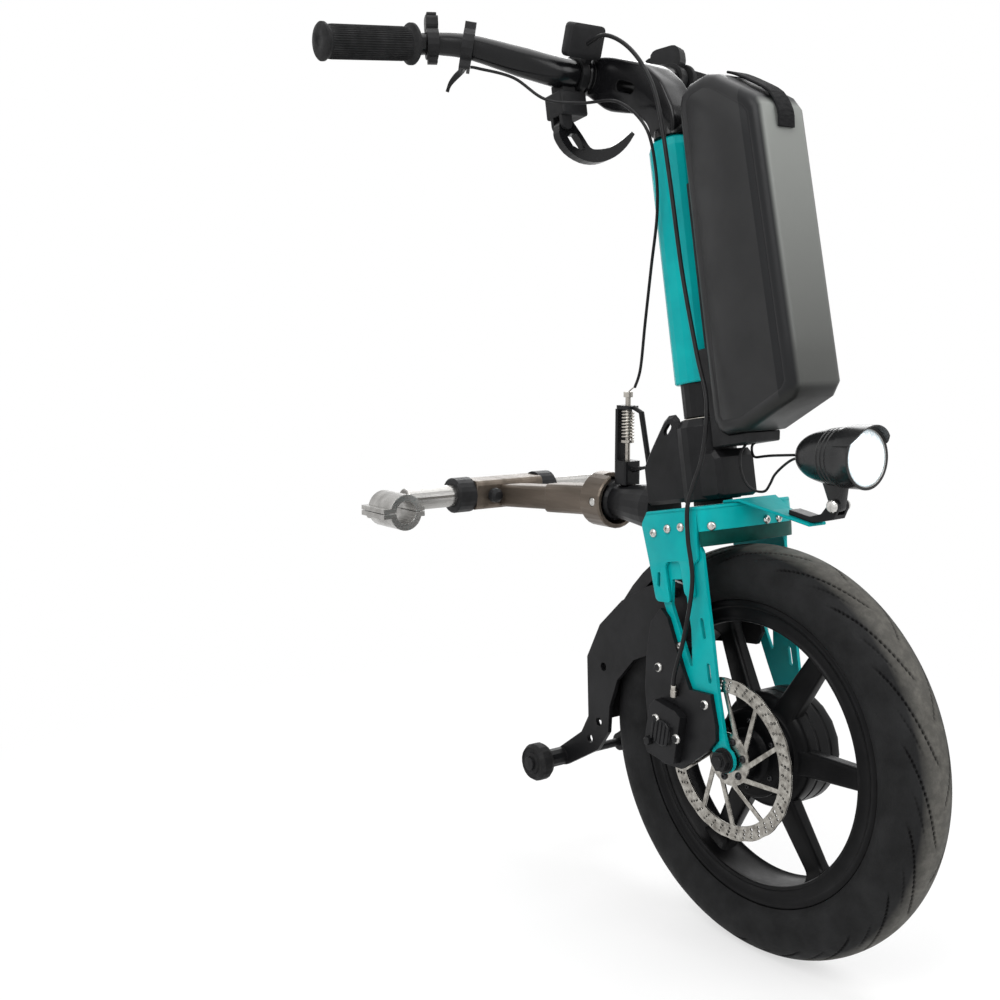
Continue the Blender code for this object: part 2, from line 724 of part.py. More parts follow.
nut_face = leg_outer + GAP
axle_half = [(AXLE_RADIUS, nut_face), (WASHER_RADIUS, nut_face), (WASHER_RADIUS, nut_face + WASHER_THICK),
             (AXLE_RADIUS, nut_face + WASHER_THICK), (AXLE_RADIUS, nut_face + AXLE_OVERHANG - 0.001),
             (AXLE_RADIUS - 0.001, nut_face + AXLE_OVERHANG), (0, nut_face + AXLE_OVERHANG)]
axle_body = turned([(r, -y) for r, y in reversed(axle_half)] + axle_half, 16, "Y")
nuts = [moved(prism(arc(0, 0, AXLE_NUT, 0, 300, 5), nut_face + SINK, nut_face + AXLE_NUT_HIGH),
              Matrix.Rotation(a, 4, "Z")) for a in (0.0, math.pi)]
collars = [ring(AXLE_RADIUS * 0.5, AXLE_RADIUS + 0.004, hub_side[0], hub_side[1], 12, "Y") for hub_side in
           ((-LEG_INNER + GAP, ROTOR_PLANE - ROTOR_THICK / 2 - 0.0012), (HUB_FAR + COVER_THICK + 0.0015, LEG_INNER - GAP))]
solid("axle", fuse(axle_body, *nuts, *collars), BLACK_PAINT, steer_frame).location = (TRAIL, 0, -AXLE_DROP)

steerer = turned([(0, GAP), (STEERER_RADIUS + 0.0035, GAP), (STEERER_RADIUS + 0.0035, HEAD_BASE - 0.0002),
                  (STEERER_RADIUS, HEAD_BASE + 0.0008), (STEERER_RADIUS, HEAD_TOP + 0.0012),
                  (STEERER_RADIUS + 0.0035, HEAD_TOP + 0.0022), (STEERER_RADIUS + 0.0035, COLUMN_LOW - GAP),
                  (STEERER_RADIUS, COLUMN_LOW - GAP), (STEERER_RADIUS, STEERER_TOP), (0, STEERER_TOP)], 18)
solid("steerer_tube", steerer, BLACK_PAINT, steer_frame)


# Head, in the tilting frame; shapes that follow the steering axis are drawn there and turned over

steer_in_head = Matrix.Translation((BALL_BACK - STEER_BACK, 0, STEER_HEIGHT - BALL_HEIGHT)) @ Matrix.Rotation(-RAKE, 4, "Y")


def head_shape():
    barrel = turned([(0, HEAD_BASE), (HEAD_RADIUS - 0.002, HEAD_BASE), (HEAD_RADIUS, HEAD_BASE + 0.002),
                     (HEAD_RADIUS, HEAD_TOP - 0.008), (HEAD_RADIUS - 0.006, HEAD_TOP), (0, HEAD_TOP)], 22)
    side = [(-0.0720, 0.0080), (-0.0680, 0.0055), (0.0340, 0.0055), (0.0400, 0.0085), (0.0400, 0.0460),
            (0.0340, 0.0540), (-0.0080, 0.0545), (-0.0120, 0.0900), (-0.0170, 0.0955), (-0.0265, 0.0955),
            (-0.0345, 0.0905), (-0.0585, 0.0640), (-0.0720, 0.0470)]
    body = prism(side, -HEAD_HALF, HEAD_HALF)
    bmesh.ops.bevel(body, geom=[e for e in body.edges if abs(e.verts[0].co.y - e.verts[1].co.y) < 1e-6],
                    offset=0.004, segments=1, affect="EDGES", profile=0.5)
    slot = prism(slot_outline(-0.0270, 0.0815, 0.0150, 0.0070, 42), -HEAD_HALF - 0.001, HEAD_HALF + 0.001)
    relief = box(-0.0700, 0.0000, LUG_THICK - HEAD_HALF, HEAD_HALF - LUG_THICK, LUG_ROOT, HEAD_TOP + 0.012)
    seat = BEARING_OUTER + GAP
    bore = turned([(0, -0.01), (seat, -0.01), (seat, HEAD_BASE + BEARING_HEIGHT + GAP),
                   (STEERER_RADIUS + 0.0025, HEAD_BASE + BEARING_HEIGHT + GAP),
                   (STEERER_RADIUS + 0.0025, HEAD_TOP - BEARING_HEIGHT - GAP),
                   (seat, HEAD_TOP - BEARING_HEIGHT - GAP), (seat, HEAD_TOP + 0.01), (0, HEAD_TOP + 0.01)], 18)
    shape = moved(cut(fuse(barrel, cut(body, slot, relief)), bore), steer_in_head)
    neck = turned([(0, -BALL_RADIUS * 0.98)] + [(BALL_RADIUS * math.sin(t), -BALL_RADIUS * math.cos(t))
                  for t in (math.radians(a) for a in (22, 50, 80, 112))]
                  + [(NECK_RADIUS, 0.0125), (NECK_RADIUS + 0.001, 0.030), (NECK_RADIUS + 0.006, 0.070),
                     (NECK_RADIUS + 0.006, 0.085), (0, 0.085)], 20, "X")
    shape = fuse(shape, neck)
    pin_hole = rod(PIVOT_PIN + GAP, -0.05, 0.05, 12, "Y")
    return cut(shape, pin_hole)


solid("head_housing", head_shape(), BLACK_PAINT, head_frame)

bearing_in = STEERER_RADIUS + GAP
for name, low, high in (("head_bearing_lower", HEAD_BASE + 0.0012, HEAD_BASE + BEARING_HEIGHT),
                        ("head_bearing_upper", HEAD_TOP - BEARING_HEIGHT, HEAD_TOP + 0.0008)):
    solid(name, moved(ring(bearing_in, BEARING_OUTER, low, high, 18), steer_in_head), STEEL, head_frame)

latch_x = BALL_BACK - LATCH_BACK
block_low = LATCH_BASE - BALL_HEIGHT
latch_high = LATCH_TOP - BALL_HEIGHT


def latch_bracket_shape():
    block = prism(rounded(0.020, 0.022, 0.003, 2, latch_x, 0.0), block_low - 0.004, block_low + 0.022, "XY")
    bar = box(latch_x - 0.0130, latch_x - 0.0090, -0.007, 0.007, block_low + 0.010, latch_high - 0.010)
    top = prism(rounded(0.024, 0.014, 0.003, 2, latch_x - 0.001, 0.0), latch_high - 0.0100, latch_high - 0.0060, "XY")
    brace = pipe([(latch_x + 0.0095, 0, latch_high - 0.0078), (latch_x + 0.022, 0, latch_high - 0.0125),
                  (latch_x + 0.036, 0, block_low + 0.0185), (latch_x + 0.007, 0, block_low + 0.0120)],
                 [0.0027, 0.0031, 0.0031, 0.0031], 8)
    shape = fuse(block, bar, top, brace)
    hole = moved(rod(LATCH_ROD + GAP, -0.02, 0.13, 12), Matrix.Translation((latch_x, 0, 0)))
    seat = turned([(0, -0.02), (NECK_RADIUS + 0.0012, -0.02), (NECK_RADIUS + 0.0022, 0.06), (0, 0.06)], 20, "X")
    return cut(shape, hole, seat)


solid("latch_bracket", latch_bracket_shape(), BLACK_PAINT, head_frame)

plunger = turned([(0, block_low + 0.0020), (LATCH_ROD, block_low + 0.0030), (LATCH_ROD, SPRING_LOW - BALL_HEIGHT - 0.0040),
                  (0.0072, SPRING_LOW - BALL_HEIGHT - 0.0032), (0.0072, SPRING_LOW - BALL_HEIGHT - GAP),
                  (LATCH_ROD, SPRING_LOW - BALL_HEIGHT - GAP), (LATCH_ROD, latch_high + 0.0030),
                  (0.0052, latch_high + 0.0032), (0.0052, latch_high + 0.0090), (0, latch_high + 0.0090)], 12)
solid("latch_plunger", moved(plunger, Matrix.Translation((latch_x, 0, 0))), STEEL, head_frame)


def coil_points(turns, per_turn, radius, low, high):
    """Open coil with one flat turn's lead at each end."""
    points = []
    total = turns * per_turn
    for k in range(total + 1):
        angle = 2 * math.pi * k / per_turn
        points.append(Vector((radius * math.cos(angle), radius * math.sin(angle), low + (high - low) * k / total)))
    return points


spring_low = SPRING_LOW - BALL_HEIGHT + SPRING_WIRE
spring_high = LATCH_TOP - BALL_HEIGHT - 0.0100 - SPRING_WIRE - GAP
coil = coil_points(SPRING_TURNS, 8, SPRING_RADIUS, spring_low, spring_high)
least = min((a - b).length for i, a in enumerate(coil) for b in coil[i + 6:]) - 2 * SPRING_WIRE
print("latch spring least gap to itself", round(least, 5))
spring_curve = bpy.data.curves.new("latch_spring", "CURVE")
spring_curve.dimensions = "3D"
spring_curve.bevel_depth = SPRING_WIRE
spring_curve.bevel_resolution = 1
spring_curve.use_fill_caps = True
spring_line = spring_curve.splines.new("POLY")
spring_line.points.add(len(coil) - 1)
for point, place in zip(spring_line.points, coil):
    point.co = (*place, 1.0)
spring_curve.materials.append(principled("latch_spring_steel", STEEL[1], STEEL[2], STEEL[3]))
latch_spring = bpy.data.objects.new("latch_spring", spring_curve)
bpy.context.collection.objects.link(latch_spring)
latch_spring.parent = head_frame
latch_spring.location = (latch_x, 0, 0)


# Docking arm and crossbar, in the docked frame

def arm_point(back):
    """Height of the arm's middle line at a distance behind the wheel."""
    return BALL_HEIGHT - (back - BALL_BACK) * math.tan(ARM_TILT)


def arm_run(back0, back1, tall, wide, radius, grow=0.0):
    sections = []
    for back in (back0, back1):
        sections.append([(-back, a, arm_point(back) + b) for a, b in rounded(wide + grow, tall + grow, radius, 3)])
    return loft(sections)


cup_end = CUP_MOUTH + CUP_DEPTH


def dock_arm_shape():
    """Cup round the head's ball, running back into the outer tube of the telescopic arm."""
    floor = -cup_end
    cup = turned([(0, floor - 0.006), (CUP_RADIUS - 0.010, floor - 0.006), (CUP_RADIUS, floor + 0.006),
                  (CUP_RADIUS, -CUP_MOUTH - 0.002), (CUP_RADIUS - 0.0015, -CUP_MOUTH), (CUP_BORE, -CUP_MOUTH),
                  (CUP_BORE, floor + 0.007), (CUP_BORE - 0.008, floor), (0, floor)], 26, "X")
    cup = moved(cup, Matrix.Translation((0, 0, BALL_HEIGHT)))
    outer = arm_run(cup_end + 0.003, ARM_STEP_BACK, ARM_TALL, ARM_WIDE, 0.006)
    slide_bore = arm_run(cup_end + 0.012, ARM_STEP_BACK + 0.002, ARM_TALL - 2 * ARM_WALL, ARM_WIDE - 2 * ARM_WALL, 0.004)
    pin = moved(rod(PIVOT_PIN + GAP, -CUP_RADIUS - 0.01, CUP_RADIUS + 0.01, 12, "Y"),
                Matrix.Translation((-BALL_BACK, 0, BALL_HEIGHT)))
    notch = box(-BALL_BACK - 0.0030, -CUP_MOUTH + 0.002, -NOTCH_HALF, NOTCH_HALF, BALL_HEIGHT + 0.0100, BALL_HEIGHT + 0.05)
    return cut(fuse(cup, outer), slide_bore, pin, notch)


solid("dock_arm", dock_arm_shape(), BRONZE, arm_frame)
pin_half = math.sqrt(CUP_RADIUS ** 2 - PIVOT_PIN ** 2) - 0.0004
solid("dock_pivot_pin", moved(rod(PIVOT_PIN, -pin_half, pin_half, 12, "Y", 0.0006),
                              Matrix.Translation((-BALL_BACK, 0, BALL_HEIGHT))), STEEL, arm_frame)

hub_front = CROSSBAR_BACK - HUB_DEEP / 2
inner_tall = ARM_TALL - 2 * ARM_WALL - 2 * GAP
inner_wide = ARM_WIDE - 2 * ARM_WALL - 2 * GAP
solid("dock_arm_inner", arm_run(cup_end + 0.040, hub_front - GAP, inner_tall, inner_wide, 0.004), BRONZE, unit)


def crossbar_hub_shape():
    block = prism(rounded(HUB_DEEP, HUB_TALL, 0.006, 3, -CROSSBAR_BACK, CROSSBAR_HEIGHT), -HUB_HALF, HUB_HALF)
    bore = moved(rod(SIDE_TUBE_RADIUS + GAP, -HUB_HALF - 0.001, -0.006, 22, "Y"),
                 Matrix.Translation((-CROSSBAR_BACK, 0, CROSSBAR_HEIGHT)))
    bore_left = moved(rod(SIDE_TUBE_RADIUS + GAP, 0.006, HUB_HALF + 0.001, 22, "Y"),
                      Matrix.Translation((-CROSSBAR_BACK, 0, CROSSBAR_HEIGHT)))
    return cut(block, bore, bore_left)


solid("crossbar_hub", crossbar_hub_shape(), BRONZE, unit)

knob_x = -CROSSBAR_BACK + HUB_DEEP / 2 + GAP
knob = turned([(0, 0), (0.0050, 0), (0.0050, 0.0030), (0.0085, 0.0036), (0.0092, 0.0060), (0.0085, 0.0115),
               (0.0050, 0.0145), (0, 0.0152)], 14, "X")
solid("crossbar_knob", moved(knob, Matrix.Translation((knob_x, -0.028, CROSSBAR_HEIGHT))), BLACK_PLASTIC, unit,
      pivot=(knob_x, -0.028, CROSSBAR_HEIGHT))

sleeve = moved(turned([(SIDE_TUBE_RADIUS + GAP, -SLEEVE_END), (SLEEVE_RADIUS - 0.002, -SLEEVE_END),
                       (SLEEVE_RADIUS, -SLEEVE_END + 0.002), (SLEEVE_RADIUS, -HUB_HALF - GAP),
                       (SIDE_TUBE_RADIUS + GAP, -HUB_HALF - GAP)], 22, "Y"),
               Matrix.Translation((-CROSSBAR_BACK, 0, CROSSBAR_HEIGHT)))
sleeve_left = mirrored(sleeve)
solid("side_sleeve_right", sleeve, BLACK_PLASTIC, unit)
solid("side_sleeve_left", sleeve_left, BLACK_PLASTIC, unit)

clamp_centre = CROSSBAR_HEIGHT - CLAMP_DROP
clamp_lip = CLAMP_OUTER + 0.0090
clamp_hinge = CLAMP_OUTER + 0.0040


def side_arm_shape():
    """Tube that slides in the hub, with the upper half of the frame clamp on its end."""
    tube = moved(rod(SIDE_TUBE_RADIUS, -(CLAMP_SIDE - CLAMP_OUTER * 0.6), -0.0095, 28, "Y", 0.001),
                 Matrix.Translation((-CROSSBAR_BACK, 0, CROSSBAR_HEIGHT)))
    room = box(-CROSSBAR_BACK - 0.02, -CROSSBAR_BACK + 0.02, -CLAMP_SIDE, -CLAMP_SIDE + clamp_hinge + JAW_ROOM,
               CROSSBAR_HEIGHT - 0.02, clamp_centre + CLAMP_SPLIT)
    tube = cut(tube, room)
    upper = [(-CLAMP_SIDE + x, clamp_centre + z) for x, z in arc(0, 0, CLAMP_OUTER, 16, 164, 12)]
    upper += [(-CLAMP_SIDE - clamp_lip, clamp_centre + CLAMP_LIP_THICK), (-CLAMP_SIDE - clamp_lip, clamp_centre + CLAMP_SPLIT),
              (-CLAMP_SIDE + clamp_hinge, clamp_centre + CLAMP_SPLIT),
              (-CLAMP_SIDE + clamp_hinge, clamp_centre + CLAMP_LIP_THICK)]
    shell = prism(upper, -CROSSBAR_BACK - CLAMP_LENGTH / 2, -CROSSBAR_BACK + CLAMP_LENGTH / 2, "YZ")
    shape = fuse(tube, shell)
    bore = moved(rod(CLAMP_BORE, -CROSSBAR_BACK - CLAMP_LENGTH, -CROSSBAR_BACK + CLAMP_LENGTH, 22, "X"),
                 Matrix.Translation((0, -CLAMP_SIDE, clamp_centre)))
    return cut(shape, bore)


def clamp_jaw_shape():
    lower = [(-CLAMP_SIDE + x, clamp_centre + z) for x, z in arc(0, 0, CLAMP_OUTER, 196, 344, 12)]
    lower += [(-CLAMP_SIDE + clamp_hinge, clamp_centre - CLAMP_LIP_THICK), (-CLAMP_SIDE + clamp_hinge, clamp_centre - GAP),
              (-CLAMP_SIDE - clamp_lip, clamp_centre - GAP), (-CLAMP_SIDE - clamp_lip, clamp_centre - CLAMP_LIP_THICK)]
    shell = prism(lower, -CROSSBAR_BACK - CLAMP_LENGTH / 2, -CROSSBAR_BACK + CLAMP_LENGTH / 2, "YZ")
    bore = moved(rod(CLAMP_BORE, -CROSSBAR_BACK - CLAMP_LENGTH, -CROSSBAR_BACK + CLAMP_LENGTH, 22, "X"),
                 Matrix.Translation((0, -CLAMP_SIDE, clamp_centre)))
    shape = cut(shell, bore)
    screws = [button_head(0.0042, 0.0035, -CROSSBAR_BACK + s * CLAMP_LENGTH * 0.28, -CLAMP_SIDE - clamp_lip + 0.0052,
                          clamp_centre - CLAMP_LIP_THICK + SINK, "Z", -1.0, 10) for s in (-1, 1)]
    return fuse(shape, *screws)


jaw_pivot = (-CROSSBAR_BACK, -CLAMP_SIDE + clamp_hinge, clamp_centre)
right_arm = side_arm_shape()
left_arm = mirrored(right_arm)
right_jaw = clamp_jaw_shape()
left_jaw = mirrored(right_jaw)
solid("side_arm_right", right_arm, SILVER, unit)
solid("side_arm_left", left_arm, SILVER, unit)
solid("clamp_jaw_right", right_jaw, SILVER, unit, pivot=jaw_pivot)
solid("clamp_jaw_left", left_jaw, SILVER, unit, pivot=(jaw_pivot[0], -jaw_pivot[1], jaw_pivot[2]))


# Column and battery, in the steering frame

def column_shape():
    sections = []
    for h, inset in ((COLUMN_LOW, 0.0012), (COLUMN_LOW + 0.0015, 0.0), (COLUMN_HIGH - 0.012, 0.0),
                     (COLUMN_HIGH - 0.004, 0.0025), (COLUMN_HIGH, 0.0080)):
        sections.append([(a, b, h) for a, b in rounded(COLUMN_DEEP - 2 * inset, COLUMN_WIDE - 2 * inset, 0.019 - inset, 4)])
    socket = rod(STEERER_RADIUS + GAP, COLUMN_LOW - 0.01, STEERER_TOP + GAP, 18)
    return cut(loft(sections), socket)


solid("column", column_shape(), TEAL, steer_frame)


def battery_shape():
    """Deep narrow case with round front corners; top and bottom fall away to the front."""
    low = BATTERY_LOW
    high = BATTERY_HIGH
    front_low = BATTERY_FRONT_LOW
    front_top = BATTERY_FRONT_TOP
    side = [(BATTERY_BACK, low + 0.016), (BATTERY_BACK + 0.006, low + 0.004), (BATTERY_BACK + 0.014, low),
            (front_low - BATTERY_CHAMFER, low), (front_low - 0.010, low + 0.0230), (front_low, low + 0.0360),
            (front_low - 0.0015, low + 0.080), (front_top + 0.0008, high - 0.075), (front_top, high - 0.0500),
            (front_top - 0.008, high - 0.0370), (front_top - 0.050, high - 0.0050), (front_top - 0.064, high),
            (BATTERY_BACK + 0.018, high - 0.002), (BATTERY_BACK + 0.005, high - 0.010), (BATTERY_BACK, high - 0.022)]
    shape = prism(side, -BATTERY_HALF, BATTERY_HALF)
    front = [e for e in shape.edges if abs(e.verts[0].co.y - e.verts[1].co.y) < 1e-6
             and min(v.co.x for v in e.verts) > front_top - 0.058]
    rest = [e for e in shape.edges if abs(e.verts[0].co.y - e.verts[1].co.y) < 1e-6 and e not in front]
    bmesh.ops.bevel(shape, geom=front + rest, offset=0.0105, segments=3, affect="EDGES", profile=0.5, clamp_overlap=True)
    return shape


solid("battery_case", battery_shape(), CASE, steer_frame)

rail = box(COLUMN_DEEP / 2 + GAP, BATTERY_BACK - GAP, -RAIL_HALF, RAIL_HALF, COLUMN_LOW + 0.010, COLUMN_HIGH - 0.055)
cradle = prism([(HEAD_RADIUS + 0.0020, COLUMN_LOW - 0.0100), (HEAD_RADIUS + 0.0020, 0.0560), (0.0780, 0.0560),
                (0.0800, BATTERY_LOW - GAP), (BATTERY_BACK + 0.014, BATTERY_LOW - GAP),
                (BATTERY_BACK + 0.006 - GAP, BATTERY_LOW + 0.004 - GAP), (BATTERY_BACK - GAP, BATTERY_LOW + 0.016 - GAP),
                (BATTERY_BACK - GAP, COLUMN_LOW + 0.030), (COLUMN_DEEP / 2 + GAP, COLUMN_LOW + 0.030),
                (COLUMN_DEEP / 2 + GAP, COLUMN_LOW - 0.0040)], -0.024, 0.024)
solid("battery_base", fuse(cradle, rail), BLACK_PLASTIC, steer_frame, bevel=0.0012)


def strap_shape():
    """Carry strap that follows the battery's sloping front top, a little slack in the middle."""
    high = Vector((BATTERY_FRONT_TOP - 0.050, 0, BATTERY_HIGH - 0.005))
    low = Vector((BATTERY_FRONT_TOP - 0.008, 0, BATTERY_HIGH - 0.037))
    slope = (low - high).normalized()
    out = Vector((-slope.z, 0, slope.x))
    lift = GAP + STRAP_THICK / 2
    front = BATTERY_FRONT_TOP + lift + 0.0008
    route = smooth_path([high - slope * 0.006 + out * lift, high + slope * 0.004 + out * (lift + STRAP_SLACK * 0.6),
                         high.lerp(low, 0.5) + out * (lift + STRAP_SLACK), low + out * (lift + STRAP_SLACK * 0.7),
                         (front + 0.0008, 0, BATTERY_HIGH - 0.0540), (front, 0, BATTERY_HIGH - 0.0700)], 3)
    sections = []
    for i, here in enumerate(route):
        ahead = route[min(i + 1, len(route) - 1)]
        behind = route[max(i - 1, 0)]
        along = (ahead - behind).normalized()
        normal = Vector((-along.z, 0, along.x))
        sections.append([tuple(here + Vector((0, a, 0)) + normal * b) for a, b in rounded(STRAP_WIDE, STRAP_THICK, 0.0009, 1)])
    return loft(sections)


solid("carry_strap", strap_shape(), RUBBER, steer_frame)


# Stem and handlebar, in the steering frame

def stem_shape():
    cx, cz = BAR_CLAMP
    neck = [(0.0220, COLUMN_HIGH + GAP), (0.0235, COLUMN_HIGH + 0.020), (0.0100, COLUMN_HIGH + 0.056),
            (-0.0120, COLUMN_HIGH + 0.080), (-0.0360, COLUMN_HIGH + 0.092), (-0.0650, COLUMN_HIGH + 0.106),
            (cx + 0.006, cz + STEM_CLAMP_RADIUS - 0.001), (cx - 0.006, cz - STEM_CLAMP_RADIUS + 0.002),
            (-0.0780, COLUMN_HIGH + 0.052), (-0.0640, COLUMN_HIGH + 0.046), (-0.0360, COLUMN_HIGH + 0.036),
            (-0.0170, COLUMN_HIGH + 0.018), (-0.0150, COLUMN_HIGH + GAP)]
    body = prism(neck, -STEM_HALF, STEM_HALF)
    bmesh.ops.bevel(body, geom=[e for e in body.edges if abs(e.verts[0].co.y - e.verts[1].co.y) < 1e-6],
                    offset=0.0045, segments=1, affect="EDGES", profile=0.5, clamp_overlap=True)
    barrel = moved(rod(STEM_CLAMP_RADIUS, -0.024, 0.024, 18, "Y", 0.0015), Matrix.Translation((cx, 0, cz)))
    window = prism(slot_outline(-0.0430, COLUMN_HIGH + 0.066, 0.030, 0.012, -28), -STEM_HALF - 0.001, STEM_HALF + 0.001)
    return cut(fuse(body, barrel), window, bar_shape(GAP))



bar_points = [(BAR_CLAMP[0], 0.0, BAR_CLAMP[1]), (BAR_CLAMP[0], 0.030, BAR_CLAMP[1]),
              (BAR_CLAMP[0], 0.054, BAR_CLAMP[1]), (-0.1180, 0.090, 0.4880),
              (-0.1440, 0.137, 0.5080), (-0.1620, 0.166, 0.5148), (-0.1700, 0.186, 0.5150),
              (-0.1765, GRIP_OUTER - 0.006, 0.5070)]
bar_radii = [BAR_CENTRE_RADIUS, BAR_CENTRE_RADIUS, BAR_CENTRE_RADIUS, BAR_CENTRE_RADIUS * 0.97, BAR_CENTRE_RADIUS * 0.80,
             BAR_END_RADIUS * 1.04, BAR_END_RADIUS, BAR_END_RADIUS]


def bar_half(side):
    return [(x, y * side, z) for x, y, z in bar_points]


def bar_line(side):
    """Smoothed half of the bar with its radius at each point."""
    points = bar_half(side)
    route = smooth_path(points[:-1], BAR_STEPS)
    radii = []
    for k in range(len(route)):
        t = k / BAR_STEPS
        i = min(int(t), len(bar_radii) - 3)
        radii.append(bar_radii[i] + (bar_radii[i + 1] - bar_radii[i]) * (t - i))
    return route + [Vector(points[-1])], radii + [bar_radii[-1]]


near_route, near_radii = bar_line(-1)
far_route, far_radii = bar_line(1)


def bar_shape(grow=0.0):
    """Whole bar; grown a little it is the bore of everything clamped on it."""
    radii = list(reversed(near_radii)) + far_radii[1:]
    return pipe(list(reversed(near_route)) + far_route[1:], [r + grow for r in radii], BAR_SIDES)


solid("handlebar", bar_shape(), BLACK_PAINT, steer_frame)
solid("stem", stem_shape(), BLACK_PAINT, steer_frame)


def along_bar(side, y):
    """Centre and direction of the bar at a distance from the middle."""
    route = near_route if side < 0 else far_route
    for a, b in zip(route, route[1:]):
        if abs(b.y) >= y > abs(a.y) - 1e-9:
            t = (y - abs(a.y)) / (abs(b.y) - abs(a.y))
            return a.lerp(b, t), (b - a).normalized()
    return route[-1], (route[-1] - route[-2]).normalized()


def frame_at(side, y):
    """Matrix whose Z runs outwards along the bar and whose Y points up."""
    centre, along = along_bar(side, y)
    up = Vector((0, 0, 1))
    right = up.cross(along).normalized()
    up = along.cross(right)
    matrix = Matrix((right, up, along)).transposed().to_4x4()
    matrix.translation = centre
    return matrix


def grip_shape(side):
    length = GRIP_OUTER - GRIP_INNER
    bore = BAR_END_RADIUS + GAP
    body = turned([(0, length - 0.0038), (bore, length - 0.0038), (bore, 0.0), (GRIP_FLANGE, 0.0), (GRIP_FLANGE, 0.005),
                   (GRIP_RADIUS, 0.0065), (GRIP_RADIUS - 0.0006, length * 0.5), (GRIP_RADIUS, length - 0.0060),
                   (GRIP_FLANGE - 0.002, length - 0.0045), (GRIP_FLANGE - 0.002, length - 0.0010), (0.012, length + 0.0012),
                   (0, length + 0.0012)], 18)
    centre = along_bar(side, GRIP_INNER)[0]
    outer = along_bar(side, GRIP_OUTER)[0]
    run = (outer - centre).normalized()
    up = Vector((0, 0, 1))
    right = up.cross(run).normalized()
    matrix = Matrix((right, run.cross(right), run)).transposed().to_4x4()
    matrix.translation = centre
    return moved(body, matrix)


for side, name in ((-1, "grip_right"), (1, "grip_left")):
    solid(name, grip_shape(side), RUBBER, steer_frame)


# Headlight, drawn along its own axis and turned down to the front

lamp_turn = Matrix.Translation((LAMP_BACK[0], 0, LAMP_BACK[1])) @ Matrix.Rotation(LAMP_AXIS_LOW, 4, "Y")


def lamp_shape():
    """Bullet shell with an open front, a visor over the lens and a lug for the tilt bolt."""
    wall = LAMP_WALL
    r = LAMP_RADIUS
    shell = turned([(0, 0), (LAMP_BACK_RADIUS, 0), (0.0165, 0.0060), (0.0225, 0.0180), (0.0262, 0.0360),
                    (r, 0.0580), (r, LAMP_LENGTH), (r - wall, LAMP_LENGTH), (r - wall, LAMP_LENGTH - LENS_SET_BACK),
                    (0, LAMP_LENGTH - LENS_SET_BACK)], 22, "X")
    brim = LAMP_LENGTH + VISOR_REACH
    visor = turned([(r - 0.0004, LAMP_LENGTH - 0.018), (r + 0.0014, LAMP_LENGTH - 0.018), (r + 0.0018, brim),
                    (r + 0.0006, brim), (r - 0.0006, LAMP_LENGTH - 0.0010)], 10, "X",
                   math.radians(22), math.radians(136))
    shape = moved(fuse(shell, visor), lamp_turn)
    px, pz = LAMP_PIVOT
    lug = prism([(px - 0.0120, pz + 0.0240), (px - 0.0062, pz + 0.0010)] + arc(px, pz, 0.0062, 180, 360, 8)
                + [(px + 0.0130, pz + 0.0240)], -0.0045, 0.0045)
    hole = moved(rod(LAMP_BOLT + GAP, -0.02, 0.02, 14, "Y"), Matrix.Translation((px, 0, pz)))
    return cut(fuse(shape, lug), hole)


solid("headlight_body", lamp_shape(), BLACK_PLASTIC, steer_frame, pivot=(LAMP_PIVOT[0], 0, LAMP_PIVOT[1]))
lens = turned([(0, LAMP_LENGTH - LENS_SET_BACK + GAP), (LAMP_RADIUS - LAMP_WALL - GAP, LAMP_LENGTH - LENS_SET_BACK + GAP),
               (LAMP_RADIUS - LAMP_WALL - GAP, LAMP_LENGTH - 0.0012), (0.0200, LAMP_LENGTH + 0.0012),
               (0.0105, LAMP_LENGTH + 0.0026), (0, LAMP_LENGTH + 0.0031)], 22, "X")
solid("headlight_lens", moved(lens, lamp_turn), LENS, steer_frame, pivot=(LAMP_PIVOT[0], 0, LAMP_PIVOT[1]))

tongue_run = [(CROWN_FRONT + 0.0020, GAP, 0.030), (CROWN_FRONT + CROWN_BULGE + 0.0010, GAP, 0.027),
              (0.0900, -0.0140, TONGUE_HALF + 0.0020), (0.1340, -0.0300, TONGUE_HALF)]
tongue = loft([[(g, -half, h), (g, half, h), (g + TONGUE_THICK * 0.1, half, h + TONGUE_THICK),
                (g + TONGUE_THICK * 0.1, -half, h + TONGUE_THICK)] for g, h, half in tongue_run])
solid("lamp_tongue", tongue, TEAL, steer_frame, bevel=0.0008)


def above_tongue(g):
    """Point a fit's gap over the tongue's straight front stretch."""
    (start, high, _), (end, low, _) = tongue_run[2:]
    along = (g - TONGUE_THICK * 0.1 - start) / (end - start)
    return (g, high + (low - high) * along + TONGUE_THICK + GAP * 1.1)


def lamp_bracket_shape():
    """Curved strap from the tongue that forks round the lamp's lug."""
    px, pz = LAMP_PIVOT
    ear = arc(px, pz, LAMP_EAR, -30, 165, 8)
    outline = ear + [(px - 0.0150, pz - 0.0060), (0.1320, -0.0205), (0.1080, -0.0122), above_tongue(0.1068),
                     above_tongue(0.1325), (0.1450, -0.0262), (px - 0.0010, pz - 0.0120)]
    whole = prism(outline, -0.0078, 0.0078)
    inside = box(px - 0.0135, px + 0.02, -0.0048, 0.0048, pz - 0.0085, pz + 0.02)
    hole = moved(rod(LAMP_BOLT + GAP, -0.02, 0.02, 14, "Y"), Matrix.Translation((px, 0, pz)))
    return cut(whole, inside, hole)


